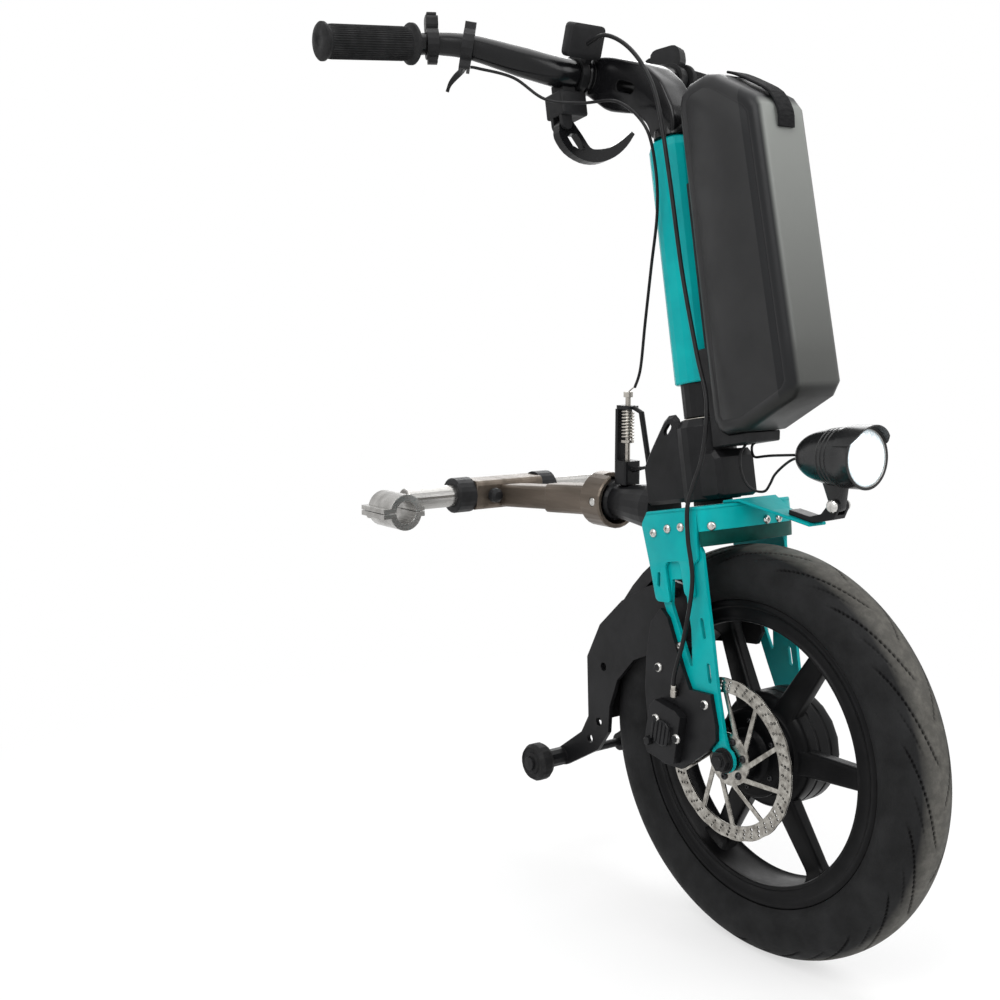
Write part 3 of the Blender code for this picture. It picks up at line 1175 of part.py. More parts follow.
solid("headlight_bracket", lamp_bracket_shape(), BLACK_PAINT, steer_frame)
lamp_bolt = moved(turned([(0, -0.0112), (0.0048, -0.0112), (0.0062, -0.0100), (0.0062, -0.0082), (LAMP_BOLT, -0.0082),
                          (LAMP_BOLT, 0.0081), (0.0052, 0.0081), (0.0052, 0.0108), (0, 0.0108)], 14, "Y"),
                  Matrix.Translation((LAMP_PIVOT[0], 0, LAMP_PIVOT[1])))
solid("lamp_bolt", lamp_bolt, SILVER, steer_frame)


# Brake: caliper over the back of the rotor, held by a plate outside the near leg

caliper_turn = Matrix.Translation((TRAIL, 0, -AXLE_DROP)) @ Matrix.Rotation(CALIPER_TURN, 4, "Y")
slot_half = ROTOR_THICK / 2 + PAD_GAP + PAD_THICK + GAP


def caliper_block(grow=0.0):
    shape = prism([(0.0515 - grow, -0.0250 - grow), (0.0600 - grow, -0.0290 - grow), (0.0900 + grow, -0.0290 - grow),
                   (0.0960 + grow, -0.0200 - grow), (0.0960 + grow, 0.0200 + grow), (0.0900 + grow, 0.0290 + grow),
                   (0.0600 - grow, 0.0290 + grow), (0.0515 - grow, 0.0250 + grow)], -CALIPER_OUT, -CALIPER_IN)
    return moved(shape, caliper_turn)


def caliper_shape():
    slot = prism([(0.0400, -0.040), (ROTOR_RADIUS + 0.0025, -0.040), (ROTOR_RADIUS + 0.0025, 0.040), (0.0400, 0.040)],
                 ROTOR_PLANE - slot_half, ROTOR_PLANE + slot_half)
    cap = moved(rod(0.0135, -0.0778, -0.0740, 16, "Y", 0.001), Matrix.Translation((0.0725, 0, 0)))
    cap = moved(cap, caliper_turn)
    body = caliper_block()
    return cut(fuse(body, cap), moved(slot, caliper_turn))


caliper_screws = [button_head(MOUNT_SCREW, 0.0038, g, -CALIPER_OUT + SINK, h, "Y", -1.0, 8)
                  for g, h in ((-0.0385, -0.2085), (-0.0115, -0.2270))]
solid("brake_caliper", fuse(caliper_shape(), *caliper_screws), BLACK_PAINT, steer_frame)
for side, name in ((-1, "brake_pad_outer"), (1, "brake_pad_inner")):
    face = ROTOR_PLANE + side * (ROTOR_THICK / 2 + PAD_GAP)
    back = face + side * PAD_THICK
    pad = prism(rounded(0.0160, 0.0260, 0.003, 2, 0.0715, 0.0), min(face, back), max(face, back))
    solid(name, moved(pad, caliper_turn), STEEL, steer_frame)

bracket_in = leg_outer + GAP
bracket_out = bracket_in + BRACKET_THICK
bracket = prism([(0.0325, -0.1830), (0.0350, -0.2150), (0.0330, -0.2285), (0.0220, -0.2380), (0.0040, -0.2480), (-0.0200, -0.2600),
                 (-0.0480, -0.2560), (-0.0640, -0.2300), (-0.0620, -0.1800), (-0.0540, -0.1450), (-0.0420, -0.1120),
                 (-0.0250, -0.0980), (-0.0165, -0.1080), (-0.0030, -0.1600), (0.0040, -0.1790)], -bracket_out, -bracket_in)
bracket_screws = [button_head(MOUNT_SCREW, 0.0038, g, -bracket_out + SINK, h, "Y", -1.0, 8)
                  for g, h in ((-0.0370, -0.1580), (0.0240, -0.1930))]
solid("caliper_bracket", fuse(cut(bracket, caliper_block(GAP)), *bracket_screws), BLACK_PAINT, steer_frame)

# Stand, rollers and rear guard, outlines given in the docked frame

roller_g, roller_h = to_steer(-ROLLER_BACK, ROLLER_HEIGHT)
docked_outline = [(-0.0780, 0.3640), (-0.0560, 0.3400), (-0.0490, 0.3080), (-0.0560, 0.2940), (-0.0750, 0.2920),
                  (-0.1150, 0.2860), (-0.1500, 0.2700), (-0.1760, 0.2420), (-0.1880, 0.2100), (-0.1900, 0.1800),
                  (-0.2080, 0.1550), (-0.2620, 0.1230)]
docked_outline += arc(-ROLLER_BACK, ROLLER_HEIGHT, 0.0105, 300, 110, 8)
docked_outline += [(-0.2360, 0.1690), (-0.2240, 0.1900), (-0.2270, 0.2580), (-0.2060, 0.2980), (-0.1700, 0.3310),
                   (-0.1300, 0.3530), (-0.0960, 0.3660)]


def stand_shape():
    plate = prism([to_steer(x, z) for x, z in docked_outline], STAND_PLATE, STAND_PLATE + STAND_THICK)
    holes = []
    for x, z in STAND_HOLES:
        g, h = to_steer(x, z)
        holes.append(moved(rod(STAND_HOLE, 0, 0.1, 8, "Y"), Matrix.Translation((g, 0, h))))
    plate = cut(plate, joined(*holes))
    bosses = [moved(rod(0.0050, STAND_PLATE + 0.001, LEG_INNER - GAP, 8, "Y"), Matrix.Translation((g, 0, h)))
              for g, h in STAND_BOSSES]
    hub = moved(rod(0.0105, STAND_PLATE + 0.001, ROLLER_TRACK - ROLLER_WIDE / 2 - 0.0006, 12, "Y"),
                Matrix.Translation((roller_g, 0, roller_h)))
    half = fuse(plate, *bosses, hub)
    other = mirrored(half)
    end = ROLLER_TRACK + ROLLER_WIDE / 2
    axle = moved(turned([(0, -end - 0.0040), (0.0075, -end - 0.0035), (0.0080, -end - 0.0006), (STAND_AXLE, -end - 0.0006),
                         (STAND_AXLE, end + 0.0006), (0.0080, end + 0.0006), (0.0075, end + 0.0035), (0, end + 0.0040)], 12, "Y"),
                 Matrix.Translation((roller_g, 0, roller_h)))
    return fuse(half, other, axle)


solid("stand_frame", stand_shape(), BLACK_PAINT, steer_frame)


def roller_shape(side):
    half = ROLLER_WIDE / 2
    shape = turned([(STAND_AXLE + GAP, -half), (0.0120, -half), (0.0130, -half + 0.002), (0.0165, -half + 0.002),
                    (ROLLER_RADIUS - 0.003, -half + 0.0005), (ROLLER_RADIUS, -half + 0.005), (ROLLER_RADIUS, half - 0.005),
                    (ROLLER_RADIUS - 0.003, half - 0.0005), (0.0165, half - 0.002), (0.0130, half - 0.002), (0.0120, half),
                    (STAND_AXLE + GAP, half)], 20, "Y")
    return moved(shape, Matrix.Translation((roller_g, side * ROLLER_TRACK, roller_h)))


for side, name in ((-1, "roller_right"), (1, "roller_left")):
    solid(name, roller_shape(side), RUBBER, steer_frame, pivot=(roller_g, side * ROLLER_TRACK, roller_h))

wheel_place = Matrix.Translation((TRAIL, 0, -AXLE_DROP)) @ Matrix.Rotation(RAKE, 4, "Y")


def guard_shape():
    """Ribbed mudguard behind the tyre with side lips and bosses to the stand plates."""
    outer = GUARD_RADIUS + GUARD_THICK
    section = [(outer, -GUARD_HALF)]
    for y in (-0.0200, 0.0, 0.0200):
        section += [(outer, y - 0.0035), (outer + 0.0016, y - 0.0015), (outer + 0.0016, y + 0.0015), (outer, y + 0.0035)]
    section += [(outer, GUARD_HALF), (outer - 0.0140, GUARD_HALF), (outer - 0.0140, GUARD_HALF - 0.0025),
                (GUARD_RADIUS, GUARD_HALF - 0.0025), (GUARD_RADIUS, -GUARD_HALF + 0.0025),
                (outer - 0.0140, -GUARD_HALF + 0.0025), (outer - 0.0140, -GUARD_HALF)]
    skin = turned(section, 10, "Y", math.radians(127), math.radians(58))
    bosses = []
    for angle in (154.3, 177.1):
        x = (GUARD_RADIUS - 0.0050) * math.cos(math.radians(angle))
        z = (GUARD_RADIUS - 0.0050) * math.sin(math.radians(angle))
        for side in (-1, 1):
            low = side * (GUARD_HALF - 0.0010)
            high = side * (STAND_PLATE - GAP)
            bosses.append(moved(rod(0.0050, min(low, high), max(low, high), 8, "Y"), Matrix.Translation((x, 0, z))))
    return moved(fuse(skin, *bosses), wheel_place)


solid("rear_guard", guard_shape(), BLACK_PLASTIC, steer_frame)


# Controls on the handlebar

def along_radius(side, y):
    """Largest radius of the bar outside a distance from the middle."""
    route, radii = (near_route, near_radii) if side < 0 else (far_route, far_radii)
    for i in range(len(route) - 1):
        if abs(route[i + 1].y) >= y:
            return max(radii[i], radii[i + 1])
    return radii[-1]


display_turn = Matrix.Translation(DISPLAY_CENTRE) @ Matrix.Rotation(DISPLAY_TILT, 4, "Y")


def display_shape():
    case = prism(rounded(DISPLAY_WIDE, DISPLAY_TALL, 0.005, 3), -DISPLAY_THICK, 0.0, "YZ")
    screen = prism(rounded(DISPLAY_WIDE - 0.010, DISPLAY_TALL - 0.012, 0.002, 2, 0.0, 0.003), -DISPLAY_THICK - 0.001,
                   -DISPLAY_THICK + 0.0008, "YZ")
    shape = moved(cut(case, screen), display_turn)
    cx, cz = BAR_CLAMP
    band = moved(rod(BAR_CENTRE_RADIUS + 0.0040, -0.0345, -0.0252, 18, "Y"), Matrix.Translation((cx, 0, cz)))
    foot = DISPLAY_CENTRE[0] - DISPLAY_TALL / 2 * math.sin(DISPLAY_TILT)
    foot_h = DISPLAY_CENTRE[2] - DISPLAY_TALL / 2 * math.cos(DISPLAY_TILT)
    arm = prism([(cx + 0.0100, cz + 0.0120), (cx + 0.0175, cz + 0.0040), (foot + 0.0010, foot_h + 0.0040), (foot - 0.0060, foot_h + 0.0080)],
                -0.0335, -0.0262)
    return cut(fuse(shape, band, arm), bar_shape(GAP))


solid("display_unit", display_shape(), BLACK_PLASTIC, steer_frame)


def control_box_shape():
    """Lever housing under the bar: a block with two ears and the lever's pin."""
    body = box(BOX_BACK, BOX_FRONT, BOX_LEFT, BOX_RIGHT, BOX_LOW, BOX_HIGH)
    bmesh.ops.bevel(body, geom=list(body.edges), offset=0.0025, segments=2, affect="EDGES", profile=0.5)
    saddle = box(BOX_BACK + 0.006, BOX_FRONT - 0.004, -0.0530, -0.0365, BOX_HIGH - 0.004, BOX_HIGH + 0.0095)
    py, pz = LEVER_PIVOT
    ears = []
    for x0, x1 in ((LEVER_MIDDLE - LEVER_HALF - 0.0045, LEVER_MIDDLE - LEVER_HALF - 0.0004),
                   (LEVER_MIDDLE + LEVER_HALF + 0.0004, LEVER_MIDDLE + LEVER_HALF + 0.0045)):
        ears.append(prism([(py - 0.0070, BOX_LOW + 0.004)] + arc(py, pz, 0.0070, 180, 360, 8) + [(py + 0.0070, BOX_LOW + 0.004)],
                          x0, x1, "YZ"))
    pin = moved(rod(LEVER_PIN, LEVER_MIDDLE - LEVER_HALF - 0.004, LEVER_MIDDLE + LEVER_HALF + 0.004, 14, "X"),
                Matrix.Translation((0, py, pz)))
    return cut(fuse(body, saddle, *ears, pin), bar_shape(GAP))


solid("control_box", control_box_shape(), BLACK_PLASTIC, steer_frame)


def lever_shape():
    """Crescent brake lever with a ringed root, drawn square to the bar's length."""
    py, pz = LEVER_PIVOT
    outer = smooth_path([(-0.0600, 0, 0.4200), (-0.0610, 0, 0.4080), (-0.0500, 0, 0.3930), (-0.0300, 0, 0.3840),
                         (-0.0080, 0, 0.3835), (0.0140, 0, 0.3910), (0.0330, 0, 0.4040), (0.0470, 0, 0.4190)], 3)
    inner = smooth_path([(0.0430, 0, 0.4215), (0.0270, 0, 0.4105), (0.0080, 0, 0.4010), (-0.0100, 0, 0.3975),
                         (-0.0200, 0, 0.3990), (-0.0290, 0, 0.4110), (-0.0400, 0, 0.4250)], 3)
    outline = [(v.x, v.z) for v in outer] + [(v.x, v.z) for v in inner] + [(py + 0.0020, pz + 0.0066), (py - 0.0040, pz + 0.0052)]
    blade = prism(outline, LEVER_MIDDLE - LEVER_HALF, LEVER_MIDDLE + LEVER_HALF, "YZ")
    window = prism([(-0.0500, 0.4080), (-0.0440, 0.3990), (-0.0300, 0.3935), (-0.0270, 0.3980), (-0.0370, 0.4120), (-0.0450, 0.4120)],
                   LEVER_MIDDLE - 0.02, LEVER_MIDDLE + 0.02, "YZ")
    hole = moved(rod(LEVER_PIN + GAP, LEVER_MIDDLE - 0.02, LEVER_MIDDLE + 0.02, 14, "X"), Matrix.Translation((0, py, pz)))
    return cut(blade, window, hole)


solid("brake_lever", lever_shape(), BLACK_PAINT, steer_frame, pivot=(LEVER_MIDDLE, LEVER_PIVOT[0], LEVER_PIVOT[1]))

# Trigger that pulls the dock latch, and thumb switch, on the near half of the bar
trigger_frame = frame_at(-1, TRIGGER_AT)
switch_frame = frame_at(-1, SWITCH_AT)
trigger_bore = along_radius(-1, TRIGGER_AT - 0.006) + GAP
trigger_reach = trigger_bore + 0.0050


def trigger_clamp_shape():
    band = rod(trigger_reach, -0.0060, 0.0060, 16)
    block = prism(rounded(0.018, 0.010, 0.002, 2, 0.0, -trigger_reach - 0.0020), -0.0060, 0.0060, "XY")
    top = prism(rounded(0.014, 0.010, 0.002, 2, 0.0, trigger_reach + 0.0015), -0.0060, 0.0060, "XY")
    slot = prism([(-0.0140, -trigger_reach - 0.0100), (0.0040, -trigger_reach - 0.0100), (0.0040, -trigger_reach + 0.0014),
                  (-0.0140, -trigger_reach + 0.0014)], -0.0024, 0.0024, "XY")
    pin = moved(rod(0.0012, -0.0058, 0.0058, 10), Matrix.Translation((-0.0010, -trigger_reach - 0.0034, 0)))
    shape = moved(fuse(cut(fuse(band, block, top), slot), pin), trigger_frame)
    return cut(shape, bar_shape(GAP))


solid("trigger_clamp", trigger_clamp_shape(), BLACK_PLASTIC, steer_frame)
trigger_pivot = trigger_frame @ Vector((-0.0010, -trigger_reach - 0.0034, 0))


def trigger_shape():
    """Hooked finger trigger that curls back under the bar."""
    py = -trigger_reach - 0.0034
    out = smooth_path([(-0.0010, py + 0.0026, 0), (-0.0120, py + 0.0016, 0), (-0.0230, py - 0.0040, 0), (-0.0320, py - 0.0150, 0)], 3)
    back = smooth_path([(-0.0285, py - 0.0165, 0), (-0.0215, py - 0.0085, 0), (-0.0115, py - 0.0030, 0), (-0.0010, py - 0.0026, 0)], 3)
    outline = [(v.x, v.y) for v in out] + [(v.x, v.y) for v in back] + [(0.0016, py)]
    shape = prism(outline, -0.0020, 0.0020, "XY")
    hole = moved(rod(0.0012 + GAP, -0.01, 0.01, 10), Matrix.Translation((-0.0010, py, 0)))
    return moved(cut(shape, hole), trigger_frame)


solid("trigger_lever", trigger_shape(), BLACK_PLASTIC, steer_frame, pivot=tuple(trigger_pivot))

switch_bore = along_radius(-1, SWITCH_AT - 0.006) + GAP
switch_reach = switch_bore + 0.0045


def switch_clamp_shape():
    band = rod(switch_reach, -0.0060, 0.0060, 16)
    pod = prism(rounded(0.017, 0.015, 0.004, 2, 0.0, switch_reach + 0.0050), -0.0065, 0.0065, "XY")
    nub = prism(rounded(0.010, 0.008, 0.002, 2, 0.0, -switch_reach - 0.0010), -0.0050, 0.0050, "XY")
    pocket = box(-0.0065 - GAP, 0.0065 + GAP, switch_reach + 0.0103, switch_reach + 0.0200, -0.0050 - GAP, 0.0050 + GAP)
    return cut(moved(cut(fuse(band, pod, nub), pocket), switch_frame), bar_shape(GAP))


solid("switch_clamp", switch_clamp_shape(), BLACK_PLASTIC, steer_frame)
paddle_base = switch_reach + 0.0116
paddle = prism(rounded(0.013, 0.0040, 0.0015, 2, 0.0, paddle_base + 0.0020), -0.0050, 0.0050, "XY")
solid("switch_button", moved(paddle, switch_frame), RUBBER, steer_frame, pivot=tuple(switch_frame @ Vector((0, paddle_base, 0))))

# Throttle pod on the far half of the bar
throttle_frame = frame_at(1, THROTTLE_AT)
throttle_bore = along_radius(1, THROTTLE_AT - 0.010) + GAP


def throttle_pod_shape():
    band = rod(throttle_bore + 0.0045, -0.0100, 0.0100, 16)
    pod = prism(rounded(0.038, 0.026, 0.009, 3, 0.002, throttle_bore + 0.0110), -0.0095, 0.0095, "XY")
    return cut(moved(fuse(band, pod), throttle_frame), bar_shape(GAP))


solid("throttle_pod", throttle_pod_shape(), BLACK_PLASTIC, steer_frame)
throttle_face = 0.0095 + GAP


def throttle_shape():
    wheel = moved(rod(0.0090, throttle_face, throttle_face + 0.0060, 20, "Z", 0.0008), Matrix.Translation((0.004, throttle_bore + 0.0150, 0)))
    wing = prism([(0.0080, throttle_bore + 0.0200), (0.0300, throttle_bore + 0.0220), (0.0350, throttle_bore + 0.0200),
                  (0.0320, throttle_bore + 0.0140), (0.0100, throttle_bore + 0.0110)], throttle_face, throttle_face + 0.0060, "XY")
    return moved(fuse(wheel, wing), throttle_frame)


solid("throttle_paddle", throttle_shape(), RUBBER, steer_frame,
      pivot=tuple(throttle_frame @ Vector((0.004, throttle_bore + 0.0150, 0))))


# Cables, held along their whole length

outlet = [tuple(trigger_frame @ Vector((0.0030, -trigger_reach - 0.0030, z))) for z in (-0.0060 - GAP, -0.0150)]
cord("release_cable", outlet + [(-0.1180, -0.1050, 0.4700), (-0.0960, -0.0830, 0.4420), (-0.0640, -0.0600, 0.4300),
                       (-0.0260, -0.0460, 0.4200), (0.0040, -0.0400, 0.3860), (0.0060, -0.0340, 0.3450), (-0.0020, -0.0310, 0.3000),
                       (-0.0220, -0.0290, 0.2480), (-0.0470, -0.0230, 0.1950), (-0.0740, -0.0120, 0.1520),
                       (-0.0950, -0.0040, 0.1350)], 0.0016, RUBBER, steer_frame, 0.0105)
cord("brake_hose", [(-0.0600, -0.0480, 0.4920), (-0.0300, -0.0500, 0.4900), (-0.0040, -0.0450, 0.4700), (0.0160, -0.0420, 0.4380),
                    (0.0260, -0.0400, 0.4000), (0.0300, -0.0395, 0.3300), (0.0330, -0.0395, 0.2300), (0.0420, -0.0410, 0.1500),
                    (0.0520, -0.0450, 0.1000), (0.0480, -0.0540, 0.0500), (0.0400, -0.0640, 0.0200), (0.0350, -0.0695, 0.0000),
                    (0.0330, -0.0715, -0.0300), (0.0330, -0.0720, -0.0720), (0.0140, -0.0730, -0.1250), (-0.0080, -0.0720, -0.1650),
                    (-0.0160, -0.0680, -0.1850)], 0.0022, RUBBER, steer_frame, 0.0132)
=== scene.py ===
import json
import math
import bpy
import bmesh
from mathutils import Matrix, Vector


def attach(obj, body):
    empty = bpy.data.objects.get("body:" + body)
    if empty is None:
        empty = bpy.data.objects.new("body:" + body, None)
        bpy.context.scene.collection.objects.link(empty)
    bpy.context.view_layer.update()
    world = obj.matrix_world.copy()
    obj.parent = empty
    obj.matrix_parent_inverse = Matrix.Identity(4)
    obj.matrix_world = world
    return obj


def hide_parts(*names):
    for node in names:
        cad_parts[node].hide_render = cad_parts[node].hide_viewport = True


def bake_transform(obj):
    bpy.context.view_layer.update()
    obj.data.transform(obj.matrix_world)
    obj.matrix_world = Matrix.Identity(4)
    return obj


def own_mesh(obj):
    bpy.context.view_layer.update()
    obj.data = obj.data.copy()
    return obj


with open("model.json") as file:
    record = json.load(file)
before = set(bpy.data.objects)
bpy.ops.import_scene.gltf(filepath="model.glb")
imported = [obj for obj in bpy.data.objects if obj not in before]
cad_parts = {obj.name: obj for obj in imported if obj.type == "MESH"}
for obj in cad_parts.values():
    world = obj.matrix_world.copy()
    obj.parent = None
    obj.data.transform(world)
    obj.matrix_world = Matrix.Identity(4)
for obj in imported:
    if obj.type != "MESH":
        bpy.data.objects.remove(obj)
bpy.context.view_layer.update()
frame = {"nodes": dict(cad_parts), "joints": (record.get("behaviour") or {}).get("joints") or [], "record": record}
nodes = frame["nodes"]
joints = {joint["name"]: joint for joint in frame["joints"]}
print("frame loaded", len(nodes), "nodes")

scene = bpy.context.scene
groundZ = -0.415

# places; lengths are in metres, and angles in degrees


def shifted(x, y, z):
    return Matrix.Translation((x, y, z))


def turned(degrees, axis):
    return Matrix.Rotation(math.radians(degrees), 4, axis)


def axesFrame(x, y, z, place):
    made = Matrix((x, y, z)).transposed().to_4x4()
    made.translation = place
    return made


def circle(count, start=0.0):
    turns = (math.tau * (k + start) / count for k in range(count))
    return [(math.cos(a), math.sin(a)) for a in turns]


# the steering axis gives the frame in which fork, column and bar are drawn: forward, to the left, up

steerAxis = Vector(joints["steering"]["axis"]).normalized()
steerFront = Vector((0, 1, 0)).cross(steerAxis)
steerFrame = axesFrame(steerFront, Vector((0, 1, 0)), steerAxis, Vector(joints["steering"]["pos_m"]))
steerAngle = math.atan2(steerFront.z, steerFront.x)
wheelCentre = Vector(joints["wheel_spin"]["pos_m"])
wheelFrame = Matrix.Translation(wheelCentre)


def onSteer(g, y, h):
    return steerFrame @ Vector((g, y, h))


def steerTurned(g, y, h):
    return steerFrame.to_3x3() @ Vector((g, y, h))


# camera

cameraSpec = dict(place=(1.3159, -0.9419, 0.2126), turn=(82.12, 0.0, 54.45), lens=46.8, sensor=36.0)

camData = bpy.data.cameras.new("camera")
camData.lens = cameraSpec["lens"]
camData.sensor_width = cameraSpec["sensor"]
cam = bpy.data.objects.new("camera", camData)
scene.collection.objects.link(cam)
cam.location = cameraSpec["place"]
cam.rotation_euler = [math.radians(a) for a in cameraSpec["turn"]]
scene.camera = cam
scene.view_settings.view_transform = "Standard"

# node helpers


def addNode(tree, kind, feeds=None, **settings):
    node = tree.nodes.new(kind)
    for key, value in settings.items():
        setattr(node, key, value)
    for key, value in (feeds or {}).items():
        if isinstance(value, bpy.types.NodeSocket):
            tree.links.new(value, node.inputs[key])
        else:
            node.inputs[key].default_value = value
    return node


def put(tree, kind, feeds=None, **settings):
    return addNode(tree, "ShaderNode" + kind, feeds, **settings)


def mathNode(tree, operation, *values):
    return put(tree, "Math", dict(enumerate(values)), operation=operation).outputs[0]


def mixColour(tree, mask, low, high):
    pick = [c if isinstance(c, bpy.types.NodeSocket) else (*c, 1.0) for c in (low, high)]
    return put(tree, "Mix", {0: mask, 6: pick[0], 7: pick[1]}, data_type="RGBA").outputs[2]


def remap(tree, value, fromLow, fromHigh, toLow=0.0, toHigh=1.0):
    return put(tree, "MapRange", {"Value": value, "From Min": fromLow, "From Max": fromHigh,
                                  "To Min": toLow, "To Max": toHigh}).outputs[0]


def mapped(tree, vector, **feeds):
    return put(tree, "Mapping", {"Vector": vector, **feeds}).outputs[0]


def noiseOf(tree, vector, size, detail, roughness):
    return put(tree, "TexNoise", {"Vector": vector, "Detail": detail, "Roughness": roughness,
                                  "Scale": mathNode(tree, "DIVIDE", 1.0, size)}).outputs[0]


def lengthOf(tree, **parts):
    flat = put(tree, "CombineXYZ", parts).outputs[0]
    return put(tree, "VectorMath", {0: flat}, operation="LENGTH").outputs["Value"]


def startTree(name, kind, takes, gives):
    tree = bpy.data.node_groups.new(name, kind + "NodeTree")
    for way, sockets in (("INPUT", takes), ("OUTPUT", gives)):
        for label, form, *value in sockets:
            socket = tree.interface.new_socket(name=label, in_out=way, socket_type="NodeSocket" + form)
            if value:
                socket.default_value = value[0]
    return tree, tree.nodes.new("NodeGroupInput").outputs, tree.nodes.new("NodeGroupOutput").inputs


def useGroup(tree, group, feeds):
    return put(tree, "Group", feeds, node_tree=group).outputs


# fine grain of a moulded or painted skin, with slow patches of tone

surfaceGrain, takes, gives = startTree(
    "surfaceGrain", "Shader", [("Vector", "Vector"), ("Grain Size", "Float", 0.0006), ("Patch Size", "Float", 0.04)],
    [("Height", "Float"), ("Tone", "Float")])
speck = noiseOf(surfaceGrain, takes["Vector"], takes["Grain Size"], 3.0, 0.6)
cloud = noiseOf(surfaceGrain, takes["Vector"], takes["Patch Size"], 5.0, 0.62)
surfaceGrain.links.new(speck, gives["Height"])
surfaceGrain.links.new(remap(surfaceGrain, cloud, 0.34, 0.66), gives["Tone"])

# rounded corners for the light to catch, and a broken mask along them

edgeWear, takes, gives = startTree(
    "edgeWear", "Shader", [("Vector", "Vector"), ("Width", "Float", 0.0008), ("Break Size", "Float", 0.006)],
    [("Edge", "Float"), ("Normal", "Vector")])
soft = put(edgeWear, "Bevel", {"Radius": takes["Width"]}, samples=5).outputs[0]
hard = put(edgeWear, "NewGeometry").outputs["Normal"]
alike = put(edgeWear, "VectorMath", {0: soft, 1: hard}, operation="DOT_PRODUCT").outputs["Value"]
chips = noiseOf(edgeWear, takes["Vector"], takes["Break Size"], 4.0, 0.7)
edge = mathNode(edgeWear, "MULTIPLY", remap(edgeWear, alike, 0.985, 0.84), remap(edgeWear, chips, 0.44, 0.60))
edgeWear.links.new(edge, gives["Edge"])
edgeWear.links.new(soft, gives["Normal"])

# marks left by turning or rolling round an axle that lies along Y

turnedRings, takes, gives = startTree("turnedRings", "Shader", [("Vector", "Vector"), ("Pitch", "Float", 0.0004)],
                                      [("Height", "Float"), ("Radius", "Float")])
apart = put(turnedRings, "SeparateXYZ", {"Vector": takes["Vector"]}).outputs
reach = lengthOf(turnedRings, X=apart["X"], Z=apart["Z"])
steps = mathNode(turnedRings, "DIVIDE", reach, takes["Pitch"])
lines = put(turnedRings, "TexNoise", {"W": steps, "Scale": 1.0, "Detail": 2.0}, noise_dimensions="1D").outputs[0]
turnedRings.links.new(lines, gives["Height"])
turnedRings.links.new(reach, gives["Radius"])

# patchy mask for pale dust and painted sheen on the tyre tread

roadDustAndSheen, takes, gives = startTree(
    "roadDustAndSheen", "Shader", [("Vector", "Vector"), ("Patch Size", "Float", 0.02), ("Amount", "Float", 0.3)],
    [("Mask", "Float")])
film = noiseOf(roadDustAndSheen, takes["Vector"], takes["Patch Size"], 8.0, 0.72)
roadDustAndSheen.links.new(mathNode(roadDustAndSheen, "MULTIPLY", remap(roadDustAndSheen, film, 0.42, 0.78), takes["Amount"]), gives["Mask"])
print("shader groups ready")

# finishes; every value that is even over the surface sits on the shader itself

